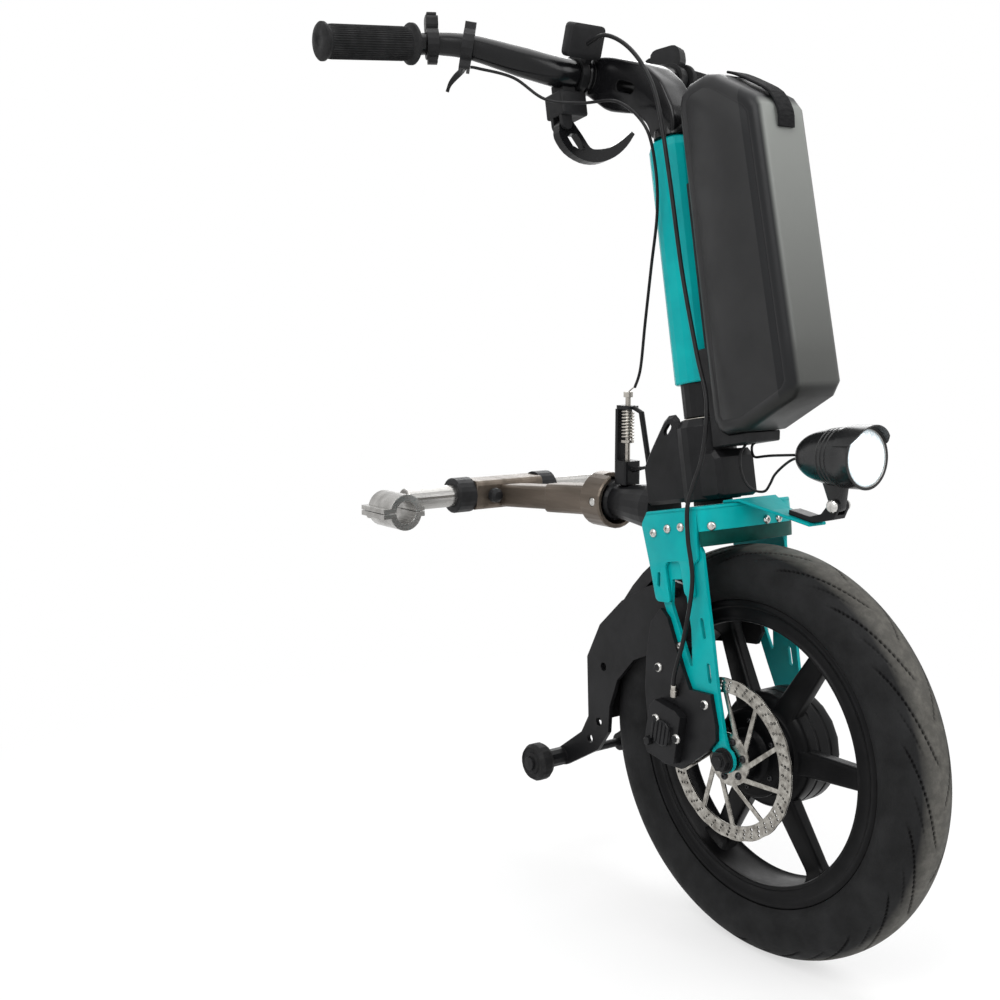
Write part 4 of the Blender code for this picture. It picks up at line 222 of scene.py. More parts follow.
plainLook = dict(wear=0.4, spread=0.2, specular=0.5, metal=0.0, coat=0.0, coatRough=0.12, turnBack=False, stretch=None,
                 grain=0.0008, patch=0.03, depth=0.00010, width=0.0008)
finishes = dict(
    tealPaint=dict(color=(0.0, 0.365, 0.368), shade=(0.0, 0.305, 0.318), edge=(0.05, 0.50, 0.50), wear=0.35,
                   rough=0.34, spread=0.10, specular=0.14, grain=0.0011, patch=0.05, width=0.0009),
    blackPaint=dict(color=(0.0105, 0.0105, 0.0115), shade=(0.0060, 0.0060, 0.0066), edge=(0.06, 0.06, 0.06),
                    rough=0.38, spread=0.16, specular=0.16, grain=0.0007, width=0.0009),
    glossBlack=dict(color=(0.0065, 0.0065, 0.0072), shade=(0.0035, 0.0035, 0.0040), edge=(0.10, 0.097, 0.094),
                    wear=0.35, rough=0.20, spread=0.12, specular=0.24, grain=0.0012, patch=0.035, depth=0.00006),
    blackPlastic=dict(color=(0.0130, 0.0130, 0.0140), shade=(0.0075, 0.0075, 0.0080), edge=(0.05, 0.05, 0.052),
                      rough=0.48, spread=0.16, specular=0.18, grain=0.00055, patch=0.02, depth=0.00016),
    bronzeAnodised=dict(color=(0.150, 0.122, 0.098), shade=(0.080, 0.064, 0.050), edge=(0.36, 0.31, 0.26), wear=0.7,
                        rough=0.38, metal=0.6, specular=0.3, grain=0.0009, patch=0.018, width=0.0009,
                        stretch=(0.12, 1.0, 1.0)),
    brightAlloy=dict(color=(0.46, 0.45, 0.435), shade=(0.27, 0.263, 0.25), edge=(0.78, 0.77, 0.75), wear=0.6,
                     rough=0.28, metal=0.9, patch=0.02, depth=0.00008, width=0.0007, stretch=(1.0, 0.10, 1.0)),
    brushedSteel=dict(color=(0.50, 0.475, 0.43), shade=(0.28, 0.26, 0.235), edge=(0.75, 0.73, 0.69), wear=0.5,
                      rough=0.28, metal=1.0, grain=0.0006, patch=0.012, depth=0.00008, width=0.0005),
    brightScrew=dict(color=(0.66, 0.65, 0.63), shade=(0.40, 0.39, 0.37), edge=(0.9, 0.9, 0.88), wear=0.6,
                     rough=0.20, spread=0.18, metal=0.95, grain=0.0004, patch=0.004, depth=0.00005, width=0.0004),
    darkScrew=dict(color=(0.028, 0.028, 0.030), shade=(0.012, 0.012, 0.013), edge=(0.22, 0.215, 0.21), wear=0.8,
                   rough=0.30, metal=0.5, specular=0.3, grain=0.0004, patch=0.004, depth=0.00006, width=0.0004),
    softRubber=dict(color=(0.0155, 0.0155, 0.0160), shade=(0.0085, 0.0085, 0.0090), edge=(0.045, 0.045, 0.045),
                    wear=0.5, rough=0.66, specular=0.18, patch=0.012, depth=0.00025),
    webbing=dict(color=(0.0125, 0.0125, 0.0132), shade=(0.0055, 0.0055, 0.0060), edge=(0.04, 0.04, 0.04),
                 rough=0.80, spread=0.15, specular=0.12, grain=0.0010, patch=0.006, depth=0.0005, width=0.0006,
                 turnBack=True, stretch=(1.0, 1.0, 3.5)),
    # painted shade: dark teal for the crown's lower lip
    shadedTeal=dict(color=(0.0, 0.062, 0.050), shade=(0.0, 0.036, 0.030), edge=(0.01, 0.10, 0.09), wear=0.3,
                    rough=0.42, spread=0.12, specular=0.1, grain=0.0011),
    lampEnamel=dict(color=(0.0120, 0.0122, 0.0128), shade=(0.0075, 0.0076, 0.0080), edge=(0.12, 0.12, 0.12),
                    rough=0.26, spread=0.12, specular=0.35, grain=0.0010, depth=0.00006, width=0.0006),
    tealTongue=dict(color=(0.0, 0.345, 0.350), shade=(0.0, 0.285, 0.298), edge=(0.05, 0.50, 0.50), wear=0.35,
                    rough=0.55, spread=0.10, specular=0.10, grain=0.0011, width=0.0006),
    screenGlass=dict(color=(0.010, 0.012, 0.014), shade=(0.006, 0.007, 0.008), edge=(0.05, 0.05, 0.05), wear=0.1,
                     rough=0.10, spread=0.06, grain=0.0020, patch=0.02, depth=0.00002, width=0.0003),
    cableJacket=dict(color=(0.0075, 0.0075, 0.0082), shade=(0.0040, 0.0040, 0.0044), edge=(0.03, 0.03, 0.03),
                     wear=0.2, rough=0.42, spread=0.18, specular=0.2, grain=0.0006, patch=0.02, depth=0.00008,
                     width=0.0004),
)
materials = {}


def startMaterial(name, look):
    material = materials[name] = bpy.data.materials.new(name)
    material.use_nodes = True
    tree = material.node_tree
    shader = tree.nodes["Principled BSDF"]
    for socket, key in (("Metallic", "metal"), ("Coat Weight", "coat"), ("Coat Roughness", "coatRough"),
                        ("Specular IOR Level", "specular")):
        shader.inputs[socket].default_value = look[key]
    vector = put(tree, "TexCoord").outputs["Object"]
    if look["turnBack"]:
        vector = mapped(tree, vector, Rotation=(0.0, steerAngle, 0.0))
    if look["stretch"]:
        vector = mapped(tree, vector, Scale=look["stretch"])
    return tree, shader, vector


def surface(name, look, paint=None):
    look = {**plainLook, **look}
    tree, shader, vector = startMaterial(name, look)
    grain = useGroup(tree, surfaceGrain, {"Vector": vector, "Grain Size": look["grain"], "Patch Size": look["patch"]})
    worn = useGroup(tree, edgeWear, {"Vector": vector, "Width": look["width"], "Break Size": look["patch"] * 0.3})
    body, height = mixColour(tree, grain["Tone"], look["shade"], look["color"]), grain["Height"]
    if paint:
        body, relief = paint(tree, vector, look, body)
        height = height if relief is None else mathNode(tree, "ADD", height, relief)
    mask = mathNode(tree, "MULTIPLY", worn["Edge"], look["wear"])
    tree.links.new(mixColour(tree, mask, body, look["edge"]), shader.inputs["Base Color"])
    half = look["spread"] / 2
    tree.links.new(remap(tree, grain["Tone"], 0.0, 1.0, look["rough"] + half, look["rough"] - half),
                   shader.inputs["Roughness"])
    bump = put(tree, "Bump", {"Strength": 0.6, "Distance": look["depth"], "Height": height, "Normal": worn["Normal"]})
    tree.links.new(bump.outputs[0], shader.inputs["Normal"])


for name, look in finishes.items():
    surface(name, look)

# battery shell: charcoal sides, a darker band round the front corners, and a front painted paler as painted reflection,
# most at the top

shellLook = dict(color=(0.0215, 0.0215, 0.0222), shade=(0.0165, 0.0165, 0.0171), edge=(0.085, 0.085, 0.085), wear=0.25,
                 rough=0.40, spread=0.12, specular=0.24, grain=0.0005, patch=0.05, width=0.0012,
                 lean=0.0326, bandBack=(0.1372, 0.1380), bandFront=(0.1594, 0.1588), band=(0.0065, 0.0068, 0.0078),
                 frontEdge=(0.1540, 0.1586), frontSide=(0.0305, 0.0262), fade=(0.13, 0.36),
                 # painted reflection: front and frontLow paint the front face paler, most at the top
                 front=(0.205, 0.214, 0.202), frontLow=(0.070, 0.072, 0.068),
                 underRise=0.37, underHigh=0.0400, underEdge=(0.006, 0.0), under=(0.0125, 0.0130, 0.0120))


def paintShell(tree, vector, look, body):
    local = mapped(tree, mapped(tree, vector, Location=-steerFrame.translation), Rotation=(0.0, steerAngle, 0.0))
    apart = put(tree, "SeparateXYZ", {"Vector": local}).outputs
    slope = mathNode(tree, "MULTIPLY_ADD", apart["Z"], look["lean"], apart["X"])  # the front leans back with height
    band = mathNode(tree, "MULTIPLY", remap(tree, slope, *look["bandBack"]), remap(tree, slope, *look["bandFront"]))
    body = mixColour(tree, band, body, look["band"])
    wide = mathNode(tree, "ABSOLUTE", apart["Y"])
    # painted reflection: the front face is painted paler grey, paler towards the top
    facing = mathNode(tree, "MULTIPLY", remap(tree, slope, *look["frontEdge"]), remap(tree, wide, *look["frontSide"]))
    fade = remap(tree, apart["Z"], *look["fade"])
    body = mixColour(tree, facing, body, mixColour(tree, fade, look["frontLow"], look["front"]))
    belly = mathNode(tree, "MULTIPLY_ADD", apart["X"], look["underRise"], look["underHigh"])
    under = remap(tree, mathNode(tree, "SUBTRACT", apart["Z"], belly), *look["underEdge"])
    return mixColour(tree, under, body, look["under"]), None


# tyre: black flanks with faint moulded rings, a tread painted paler as dust and painted sheen, and sipes painted darker
# as painted shade

tyreLook = dict(color=(0.0110, 0.0112, 0.0118), shade=(0.0066, 0.0067, 0.0070), edge=(0.032, 0.031, 0.029), wear=0.3,
                rough=0.70, spread=0.16, specular=0.17, grain=0.0009, depth=0.00030, width=0.0010, pitch=0.0012,
                tread=(0.1985, 0.2046), flank=(0.196, 0.190), film=0.55, dustAndSheenPatch=0.010, dustAndSheenAmount=0.60,
                dustAndSheen=(0.115, 0.110, 0.098), pit=(0.0035, 0.0035, 0.0037))


def ringsOn(tree, vector, pitch):
    return useGroup(tree, turnedRings, {"Vector": mapped(tree, vector, Location=-wheelCentre), "Pitch": pitch})


def paintTyre(tree, vector, look, body):
    rings = ringsOn(tree, vector, look["pitch"])
    # dust and painted sheen: the tread crown is painted paler, evenly and in patches
    dustAndSheen = useGroup(tree, roadDustAndSheen, {"Vector": vector, "Patch Size": look["dustAndSheenPatch"], "Amount": look["dustAndSheenAmount"]})
    tread = remap(tree, rings["Radius"], *look["tread"])
    mask = mathNode(tree, "MULTIPLY", tread, mathNode(tree, "ADD", look["film"], dustAndSheen["Mask"]))
    body = mixColour(tree, mask, body, look["dustAndSheen"])
    groove = put(tree, "Attribute", attribute_name="groove").outputs["Fac"]
    relief = mathNode(tree, "MULTIPLY", rings["Height"], remap(tree, rings["Radius"], *look["flank"]))
    # painted shade: the sipes are painted darker than the rubber
    return mixColour(tree, groove, body, look["pit"]), relief


# brake rotor: warm stainless, turned round the axle, with blued and rubbed patches on the band

rotorLook = dict(color=(0.40, 0.385, 0.35), shade=(0.125, 0.113, 0.097), edge=(0.80, 0.78, 0.74), wear=0.5,
                 rough=0.27, spread=0.22, metal=1.0, grain=0.0016, patch=0.0065, depth=0.00006, width=0.0003,
                 pitch=0.0005, rubbed=(0.58, 0.565, 0.53), rub=(0.40, 0.70, 0.0, 0.35))


def paintRotor(tree, vector, look, body):
    rings = ringsOn(tree, vector, look["pitch"])
    return mixColour(tree, remap(tree, rings["Height"], *look["rub"]), body, look["rubbed"]), rings["Height"]


# cast wheel: satin black with turned rings on the hub, and the hub painted darker as painted shade

castLook = dict(color=(0.0052, 0.0052, 0.0057), shade=(0.0028, 0.0028, 0.0031), edge=(0.045, 0.044, 0.042), wear=0.5,
                rough=0.36, spread=0.16, specular=0.10, grain=0.0010, depth=0.00012, width=0.0012,
                pitch=0.0009, hub=(0.0022, 0.0023, 0.0027), hubEdge=(0.066, 0.050), ringEdge=(0.064, 0.060))


def paintCast(tree, vector, look, body):
    rings = ringsOn(tree, vector, look["pitch"])
    relief = mathNode(tree, "MULTIPLY", rings["Height"], remap(tree, rings["Radius"], *look["ringEdge"]))
    # painted shade: the hub inside the spokes is painted darker
    return mixColour(tree, remap(tree, rings["Radius"], *look["hubEdge"]), body, look["hub"]), relief


surface("batteryShell", shellLook, paintShell)
surface("tyreRubber", tyreLook, paintTyre)
surface("rotorSteel", rotorLook, paintRotor)
surface("castBlack", castLook, paintCast)
print("finishes ready", len(materials))

# CAD nodes that keep their shape take a finish here

finishOfSlot = dict(teal_paint="tealPaint", teal_alloy="tealPaint", black_paint="blackPaint", black_alloy="blackPaint",
                    black_plastic="blackPlastic", battery_shell="batteryShell", bronze_anodised="bronzeAnodised",
                    bright_alloy="brightAlloy", brushed_steel="brushedSteel", soft_rubber="softRubber",
                    tyre_rubber="tyreRubber", lamp_lens="softRubber")
finishOfNode = dict(lamp_tongue="tealTongue", brake_lever="glossBlack", carry_strap="webbing", lamp_bolt="brightScrew",
                    dock_pivot_pin="brightScrew", hub_cover="castBlack")
slotOfNode = {part["node"]: part["material_slot"] for part in frame["record"]["subparts"]}
for name, piece in nodes.items():
    chosen = materials[finishOfNode.get(name, finishOfSlot[slotOfNode[name]])]
    if not piece.data.materials:
        piece.data.materials.append(chosen)
    for index in range(len(piece.data.materials)):
        piece.data.materials[index] = chosen
print("CAD nodes dressed")

# shape helpers


def meshFrom(name, shape):
    bmesh.ops.recalc_face_normals(shape, faces=shape.faces)
    mesh = bpy.data.meshes.new(name)
    shape.to_mesh(mesh)
    shape.free()
    return mesh


def pieceFrom(name, mesh, finish, body, stands=(), angle=35.0):
    if isinstance(mesh, bmesh.types.BMesh):
        mesh = meshFrom(name, mesh)
    mesh.materials.clear()
    mesh.materials.append(materials[finish])
    mesh.shade_smooth()
    mesh.set_sharp_from_angle(angle=math.radians(angle))
    piece = bpy.data.objects.new(name, mesh)
    scene.collection.objects.link(piece)
    if isinstance(body, str):
        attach(piece, body)
    else:  # a piece that bends gives its two bodies and where the bend starts and ends; here it is only baked in place
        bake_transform(piece)
    if stands:
        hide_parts(*stands)
    return piece


def lathe(shape, profile, count, axis="Y", place=None, close=False):
    turn = {"Y": lambda r, h, c, s: (r * c, h, r * s), "X": lambda r, h, c, s: (h, r * c, r * s),
            "Z": lambda r, h, c, s: (r * c, r * s, h)}[axis]
    start = len(shape.verts)
    rings = [[shape.verts.new(turn(r, h, c, s)) for r, h in profile] for c, s in circle(count)]
    for here, ahead in zip(rings, rings[1:] + rings[:1]):
        for m in range(len(profile) if close else len(profile) - 1):
            n = (m + 1) % len(profile)
            shape.faces.new((here[m], ahead[m], ahead[n], here[n]))
    shape.verts.ensure_lookup_table()
    if place is not None:
        bmesh.ops.transform(shape, matrix=place, verts=shape.verts[start:])
    return shape


def skin(shape, sections, cap=True, place=None):
    start = len(shape.verts)
    rings = [[shape.verts.new(p) for p in section] for section in sections]
    for here, ahead in zip(rings, rings[1:]):
        for m in range(len(here)):
            n = (m + 1) % len(here)
            shape.faces.new((here[m], here[n], ahead[n], ahead[m]))
    if cap:
        shape.faces.new(list(reversed(rings[0])))
        shape.faces.new(rings[-1])
    shape.verts.ensure_lookup_table()
    if place is not None:
        bmesh.ops.transform(shape, matrix=place, verts=shape.verts[start:])
    return shape


def prism(outline, half):
    shape = skin(bmesh.new(), [[(g, y, h) for g, h in outline] for y in (-half, half)], False)
    near, far = shape.verts[:len(outline)], shape.verts[len(outline):]
    shape.faces.new(near)
    shape.faces.new(far[::-1])
    bmesh.ops.recalc_face_normals(shape, faces=shape.faces)
    return shape


def soften(shape, edges, radius, segments):
    bmesh.ops.bevel(shape, geom=edges, offset=radius, segments=segments, affect="EDGES", profile=0.5,
                    clamp_overlap=True)


def weld(shape, apart=0.00001):
    bmesh.ops.remove_doubles(shape, verts=shape.verts, dist=apart)
    bmesh.ops.dissolve_degenerate(shape, edges=shape.edges, dist=apart)
    bmesh.ops.recalc_face_normals(shape, faces=shape.faces)
    return shape


def roundedRing(wide, tall, radius, corner=4):
    points = []
    for cx, cy, first in ((1, 1, 0), (-1, 1, 90), (-1, -1, 180), (1, -1, 270)):
        for k in range(corner + 1):
            a = math.radians(first + 90 * k / corner)
            points.append((cx * (wide / 2 - radius) + radius * math.cos(a),
                           cy * (tall / 2 - radius) + radius * math.sin(a)))
    return points


def smoothRoute(points, steps):
    points = [Vector(p) for p in points]
    route = []
    for i in range(len(points) - 1):
        a, b, c, d = points[max(i - 1, 0)], points[i], points[i + 1], points[min(i + 2, len(points) - 1)]
        for k in range(steps):
            t = k / steps
            route.append(0.5 * ((2 * b) + (c - a) * t + (2 * a - 5 * b + 4 * c - d) * t * t
                                + (3 * b - a - 3 * c + d) * t * t * t))
    return route + [points[-1]]


def lengthAlong(route):
    return sum((b - a).length for a, b in zip(route, route[1:]))


def tube(shape, route, radius, sides=12, place=None):
    side = Vector((0, 0, 1))
    sections = []
    for i, here in enumerate(route):
        along = (route[min(i + 1, len(route) - 1)] - route[max(i - 1, 0)]).normalized()
        side = (side - along * side.dot(along)).normalized()
        up = along.cross(side)
        reach = radius[i] if isinstance(radius, list) else radius
        sections.append([here + reach * (c * side + s * up) for c, s in circle(sides)])
    return skin(shape, sections, True, place)


def evaluated(holder):
    return bpy.data.meshes.new_from_object(holder.evaluated_get(bpy.context.evaluated_depsgraph_get()))


def sheetMetal(name, outer, holes, thick, rim, place):
    curve = bpy.data.curves.new(name, "CURVE")
    curve.dimensions = "2D"
    curve.fill_mode = "BOTH"
    curve.extrude = thick / 2 - rim
    curve.bevel_depth = rim
    curve.bevel_resolution = 1
    curve.offset = -rim
    for outline in [outer] + holes:
        spline = curve.splines.new("POLY")
        spline.points.add(len(outline) - 1)
        for point, (x, y) in zip(spline.points, outline):
            point.co = (x, y, 0.0, 1.0)
        spline.use_cyclic_u = True
    holder = bpy.data.objects.new(name, curve)
    scene.collection.objects.link(holder)
    mesh = evaluated(holder)
    bpy.data.objects.remove(holder)
    shape = bmesh.new()
    shape.from_mesh(mesh)
    bpy.data.meshes.remove(mesh)
    weld(shape, 0.00002)
    bmesh.ops.transform(shape, matrix=place, verts=shape.verts)
    return shape


def carve(shape, cutter):
    made = []
    for part in (shape, cutter):
        made.append(bpy.data.objects.new("carving", meshFrom("carving", part)))
        scene.collection.objects.link(made[-1])
    boolean = made[0].modifiers.new("carve", "BOOLEAN")
    boolean.object = made[1]
    boolean.solver = "EXACT"
    mesh = evaluated(made[0])
    for holder in made:
        bpy.data.objects.remove(holder)
    shape = bmesh.new()
    shape.from_mesh(mesh)
    return shape


def joinedInto(shape, other):
    mesh = meshFrom("joining", other)
    shape.from_mesh(mesh)
    bpy.data.meshes.remove(mesh)
    return shape


def softCorners(points, radius, steps=5):
    made = []
    count = len(points)
    for i in range(count):
        here = Vector(points[i])
        back, ahead = Vector(points[i - 1]) - here, Vector(points[(i + 1) % count]) - here
        reach = min(radius, back.length * 0.45, ahead.length * 0.45)
        a, b = here + back.normalized() * reach, here + ahead.normalized() * reach
        made += [tuple(a.lerp(here, t).lerp(here.lerp(b, t), t)) for t in (k / steps for k in range(steps + 1))]
    return made


def slotOutline(x, y, length, wide, degrees, steps=8):
    along = Vector((math.cos(math.radians(degrees)), math.sin(math.radians(degrees))))
    across = Vector((-along.y, along.x))
    made = []
    for end in (1, -1):
        for k in range(steps + 1):
            a = math.pi * k / steps - math.pi / 2
            run = (length - wide) / 2 + wide / 2 * math.cos(a)
            made.append(tuple(Vector((x, y)) + along * end * run + across * end * wide / 2 * math.sin(a)))
    return made


def plateAt(name, outer, holes, thick, rim, y):
    return sheetMetal(name, outer, holes, thick, rim, steerFrame @ shifted(0, y, 0) @ turned(90, "X"))


# Geometry Nodes: a template set on each point, then realised and painted


def finishTree(tree, gives, finish, feeds):
    placed = addNode(tree, "GeometryNodeInstanceOnPoints", feeds)
    real = addNode(tree, "GeometryNodeRealizeInstances", {"Geometry": placed.outputs[0]})
    painted = addNode(tree, "GeometryNodeSetMaterial", {"Geometry": real.outputs[0], "Material": finish})
    tree.links.new(painted.outputs[0], gives["Geometry"])


# fasteners, each turned to its own direction and spun at random

fastenerTree, takes, gives = startTree(
    "fastenersOnPoints", "Geometry", [("Geometry", "Geometry"), ("Fastener", "Object"), ("Size", "Float", 1.0),
                                      ("Random Spin", "Float", 3.14), ("Seed", "Int", 4), ("Finish", "Material")],
    [("Geometry", "Geometry")])
aim = addNode(fastenerTree, "GeometryNodeInputNamedAttribute", {"Name": "aim"}, data_type="FLOAT_VECTOR")
facing = addNode(fastenerTree, "FunctionNodeAlignRotationToVector", {"Vector": aim.outputs["Attribute"]}, axis="Z")
spin = addNode(fastenerTree, "FunctionNodeRandomValue", {2: 0.0, 3: takes["Random Spin"], "Seed": takes["Seed"]},
               data_type="FLOAT")
spun = put(fastenerTree, "CombineXYZ", {"Z": spin.outputs[1]})
aimed = addNode(fastenerTree, "FunctionNodeRotateRotation",
                {"Rotation": facing.outputs[0], "Rotate By": spun.outputs[0]}, rotation_space="LOCAL")
head = addNode(fastenerTree, "GeometryNodeObjectInfo", {"Object": takes["Fastener"]})
finishTree(fastenerTree, gives, takes["Finish"], {
    "Points": takes["Geometry"], "Instance": head.outputs["Geometry"], "Rotation": aimed.outputs[0],
    "Scale": takes["Size"]})

# one rib or spoke repeated round its own Z axis

ringTree, takes, gives = startTree(
    "repeatRoundAxis", "Geometry", [("Geometry", "Geometry"), ("Item", "Object"), ("Count", "Int", 6),
                                    ("Start Angle", "Float", 0.0), ("Finish", "Material")],
    [("Geometry", "Geometry")])
index = addNode(ringTree, "GeometryNodeInputIndex").outputs[0]
around = mathNode(ringTree, "MULTIPLY_ADD", index, mathNode(ringTree, "DIVIDE", math.tau, takes["Count"]),
                  takes["Start Angle"])
turnTo = put(ringTree, "CombineXYZ", {"Z": around})
dots = addNode(ringTree, "GeometryNodePoints", {"Count": takes["Count"]})
item = addNode(ringTree, "GeometryNodeObjectInfo", {"Object": takes["Item"]})
finishTree(ringTree, gives, takes["Finish"], {
    "Points": dots.outputs[0], "Instance": item.outputs["Geometry"], "Rotation": turnTo.outputs[0]})


def runTree(name, tree, mesh, values, finish, body, place=None, angle=35.0):
    holder = bpy.data.objects.new(name, mesh)
    scene.collection.objects.link(holder)
    modifier = holder.modifiers.new(name, "NODES")
    modifier.node_group = tree
    sockets = {item.name: item.identifier for item in tree.interface.items_tree if item.in_out == "INPUT"}
    for label, value in dict(values, Finish=materials[finish]).items():
        modifier[sockets[label]] = value
    made = evaluated(holder)
    holder.modifiers.remove(modifier)
    bpy.data.objects.remove(holder)
    if place is not None:
        made.transform(place)
    return pieceFrom(name, made, finish, body, (), angle)


def template(name, shape):
    return bpy.data.objects.new(name, meshFrom(name, shape))


def buttonHead(name, height, socket, count=18):
    dome = ((1.0, 0.0), (1.0, 0.22), (0.93, 0.55), (0.78, 0.84), (0.60, 1.0))
    sections = [[(r * c, r * s, h * height) for c, s in circle(count)] for r, h in dome]
    for h in (1.0, 0.30):
        ring = []
        for k in range(count):
            a = math.tau * k / count
            local = (a + math.pi / 6) % (math.pi / 3) - math.pi / 6
            r = socket * math.cos(math.pi / 6) / math.cos(local)
            ring.append((r * math.cos(a), r * math.sin(a), h * height))
        sections.append(ring)
    return template(name, skin(bmesh.new(), sections))


spinSpec = {"Random Spin": 6.2, "Seed": 4}


def fasteners(name, places, head, size, finish, body):
    mesh = bpy.data.meshes.new(name + "Points")
    mesh.from_pydata([tuple(p) for p, aim in places], [], [])
    aims = mesh.attributes.new("aim", "FLOAT_VECTOR", "POINT")
    for slot, (p, aim) in zip(aims.data, places):
        slot.vector = aim
    runTree(name, fastenerTree, mesh, {"Fastener": head, "Size": size, **spinSpec}, finish, body)


def boltCircle(radius, y, count, start):
    return [(wheelCentre + Vector((radius * c, y, radius * s)), (0, math.copysign(1, y), 0))
            for c, s in circle(count, start)]


buttonTemplate = buttonHead("buttonTemplate", 0.62, 0.42)
capTemplate = buttonHead("capTemplate", 1.15, 0.50)
print("node trees ready")

# tyre: rounded section with curved sipes pressed into the tread

tyreSpec = dict(radius=0.205, width=0.064, depth=0.060, wall=0.006, around=960, crown=62, flank=9, lining=10, sipes=17,
                sipeWide=0.0056, sipeDeep=0.0026, sipeEnds=(0.12, 0.08), steep=1.6, sweep=0.120, curve=1.45,
                square=0.91, bead=47, shoulder=2, treadFrom=0.22,
                rows=((0.0, 1.0, 0.04, 0.92), (0.45, 0.6, 0.50, 0.86)))  # shift, strength, and shares of the half width


def sipeDepth(angle, share):
    spec = tyreSpec
    s = abs(share)
    deepest = 0.0
    for shift, strength, low, high in spec["rows"]:
        if not low < s < high:
            continue
        turn = angle - spec["sweep"] / spec["radius"] * s ** spec["curve"]
        phase = turn * spec["sipes"] / math.tau + (0.5 if share < 0 else 0.0) + shift
        apart = abs(phase - round(phase)) * math.tau * spec["radius"] / spec["sipes"]
        cut = max(0.0, 1.0 - apart / (spec["sipeWide"] / 2))
        ends = min(1.0, (s - low) / spec["sipeEnds"][0], (high - s) / spec["sipeEnds"][1])
        deepest = max(deepest, strength * ends * min(1.0, cut * spec["steep"]))
    return deepest


def buildTyre():
    spec = tyreSpec
    middle, flank, crown = spec["radius"] - spec["depth"] / 2, spec["flank"], spec["crown"]
    bead, shoulder = spec["bead"], spec["shoulder"]
    side, span = bead + shoulder, 180 - 2 * shoulder
    turns = [-bead + side * k / flank for k in range(flank)]
    turns += [shoulder + span * k / crown for k in range(crown)]
    turns += [180 - shoulder + side * k / flank for k in range(flank + 1)]
    back = [-bead + (180 + 2 * bead) / spec["lining"] * k for k in range(spec["lining"], -1, -1)]
    outline = []
    for degrees, wall in [(d, 0.0) for d in turns] + [(d, spec["wall"]) for d in back]:
        ca, sa = math.cos(math.radians(degrees)), math.sin(math.radians(degrees))
        y = (spec["width"] / 2 - wall) * math.copysign(abs(ca) ** spec["square"], ca)
        r = middle + (spec["depth"] / 2 - wall) * math.copysign(abs(sa) ** spec["square"], sa)
        outline.append((r, y, ca, sa, wall == 0.0 and sa > spec["treadFrom"]))
    corners, grooves, faces = [], [], []
    count = len(outline)
    for k in range(spec["around"]):
        angle = math.tau * k / spec["around"]
        c, s = math.cos(angle), math.sin(angle)
        for r, y, ca, sa, tread in outline:
            deep = sipeDepth(angle, y / (spec["width"] / 2)) if tread else 0.0
            r -= deep * spec["sipeDeep"] * sa
            corners.append((r * c, y - deep * spec["sipeDeep"] * ca, r * s))
            grooves.append(deep)
        here, ahead = k * count, (k + 1) % spec["around"] * count
        for m in range(count):
            n = (m + 1) % count
            faces.append((here + m, here + n, ahead + n, ahead + m))
    mesh = bpy.data.meshes.new("tyreTread")
    mesh.from_pydata(corners, [], faces)
    mesh.attributes.new("groove", "FLOAT", "POINT").data.foreach_set("value", grooves)
    mesh.transform(wheelFrame)
    shape = bmesh.new()
    shape.from_mesh(mesh)
    return shape


pieceFrom("tyreTread", buildTyre(), "tyreRubber", "wheel", ["tyre"], 50.0)
print("tyre ready")

# cast wheel: lipped rim, stepped hub and six dished spokes; profiles are radius and place along the axle

rimSpec = dict(around=160,
               lip=((0.1302, 0.0214), (0.1310, 0.0229), (0.1332, 0.0232), (0.1346, 0.0221), (0.1362, 0.0212),
                    (0.1436, 0.0210), (0.1452, 0.0222), (0.1464, 0.0231), (0.1508, 0.0231), (0.1520, 0.0222)),
               inside=((0.1318, 0.0190), (0.1335, 0.0130), (0.1345, 0.0), (0.1335, -0.0130), (0.1318, -0.0190)))
hubSpec = dict(around=112, profile=(
    (0.0064, -0.0512), (0.0213, -0.0512), (0.0219, -0.0506), (0.0219, -0.0335), (0.0232, -0.0300), (0.0255, -0.0268),
    (0.0262, -0.0262), (0.0400, -0.0262), (0.0424, -0.0254), (0.0438, -0.0236), (0.0440, -0.0212), (0.0440, -0.0105),
    (0.0448, -0.0092), (0.0466, -0.0085), (0.0520, -0.0070), (0.0556, -0.0048), (0.0574, -0.0022), (0.0580, 0.0010),
    (0.0580, 0.0090), (0.0572, 0.0098), (0.0572, 0.0122), (0.0580, 0.0130), (0.0580, 0.0250), (0.0572, 0.0258),
    (0.0572, 0.0282), (0.0580, 0.0290), (0.0580, 0.0375), (0.0570, 0.0398), (0.0545, 0.0409), (0.0064, 0.0409)))
spokeSpec = dict(count=6, root=0.040, tip=0.1340, wideRoot=0.027, wideTip=0.021, thick=0.018, dish=0.010,
                 corner=0.0052, steps=24, rootFlare=(0.010, 0.22), tipFlare=(0.014, 0.84), tipThick=(0.010, 0.90))
boltSpec = dict(right=(0.0335, -0.0262, 6, 0.5), left=(0.0400, 0.0471, 8, 0.5), size=0.0030)
valveSpec = ((0.1350, 0.0045), (0.1300, 0.0042), (0.1285, 0.0030), (0.1180, 0.0028), (0.1178, 0.0034),
             (0.1085, 0.0033), (0.1075, 0.0026))

rim = [(r, -y) for r, y in rimSpec["lip"]] + list(reversed(rimSpec["lip"])) + list(rimSpec["inside"])
shape = lathe(bmesh.new(), rim, rimSpec["around"], "Y", wheelFrame, True)
lathe(shape, hubSpec["profile"], hubSpec["around"], "Y", wheelFrame, True)
pieceFrom("wheelRimAndHub", shape, "castBlack", "wheel", ["cast_wheel"], 40.0)


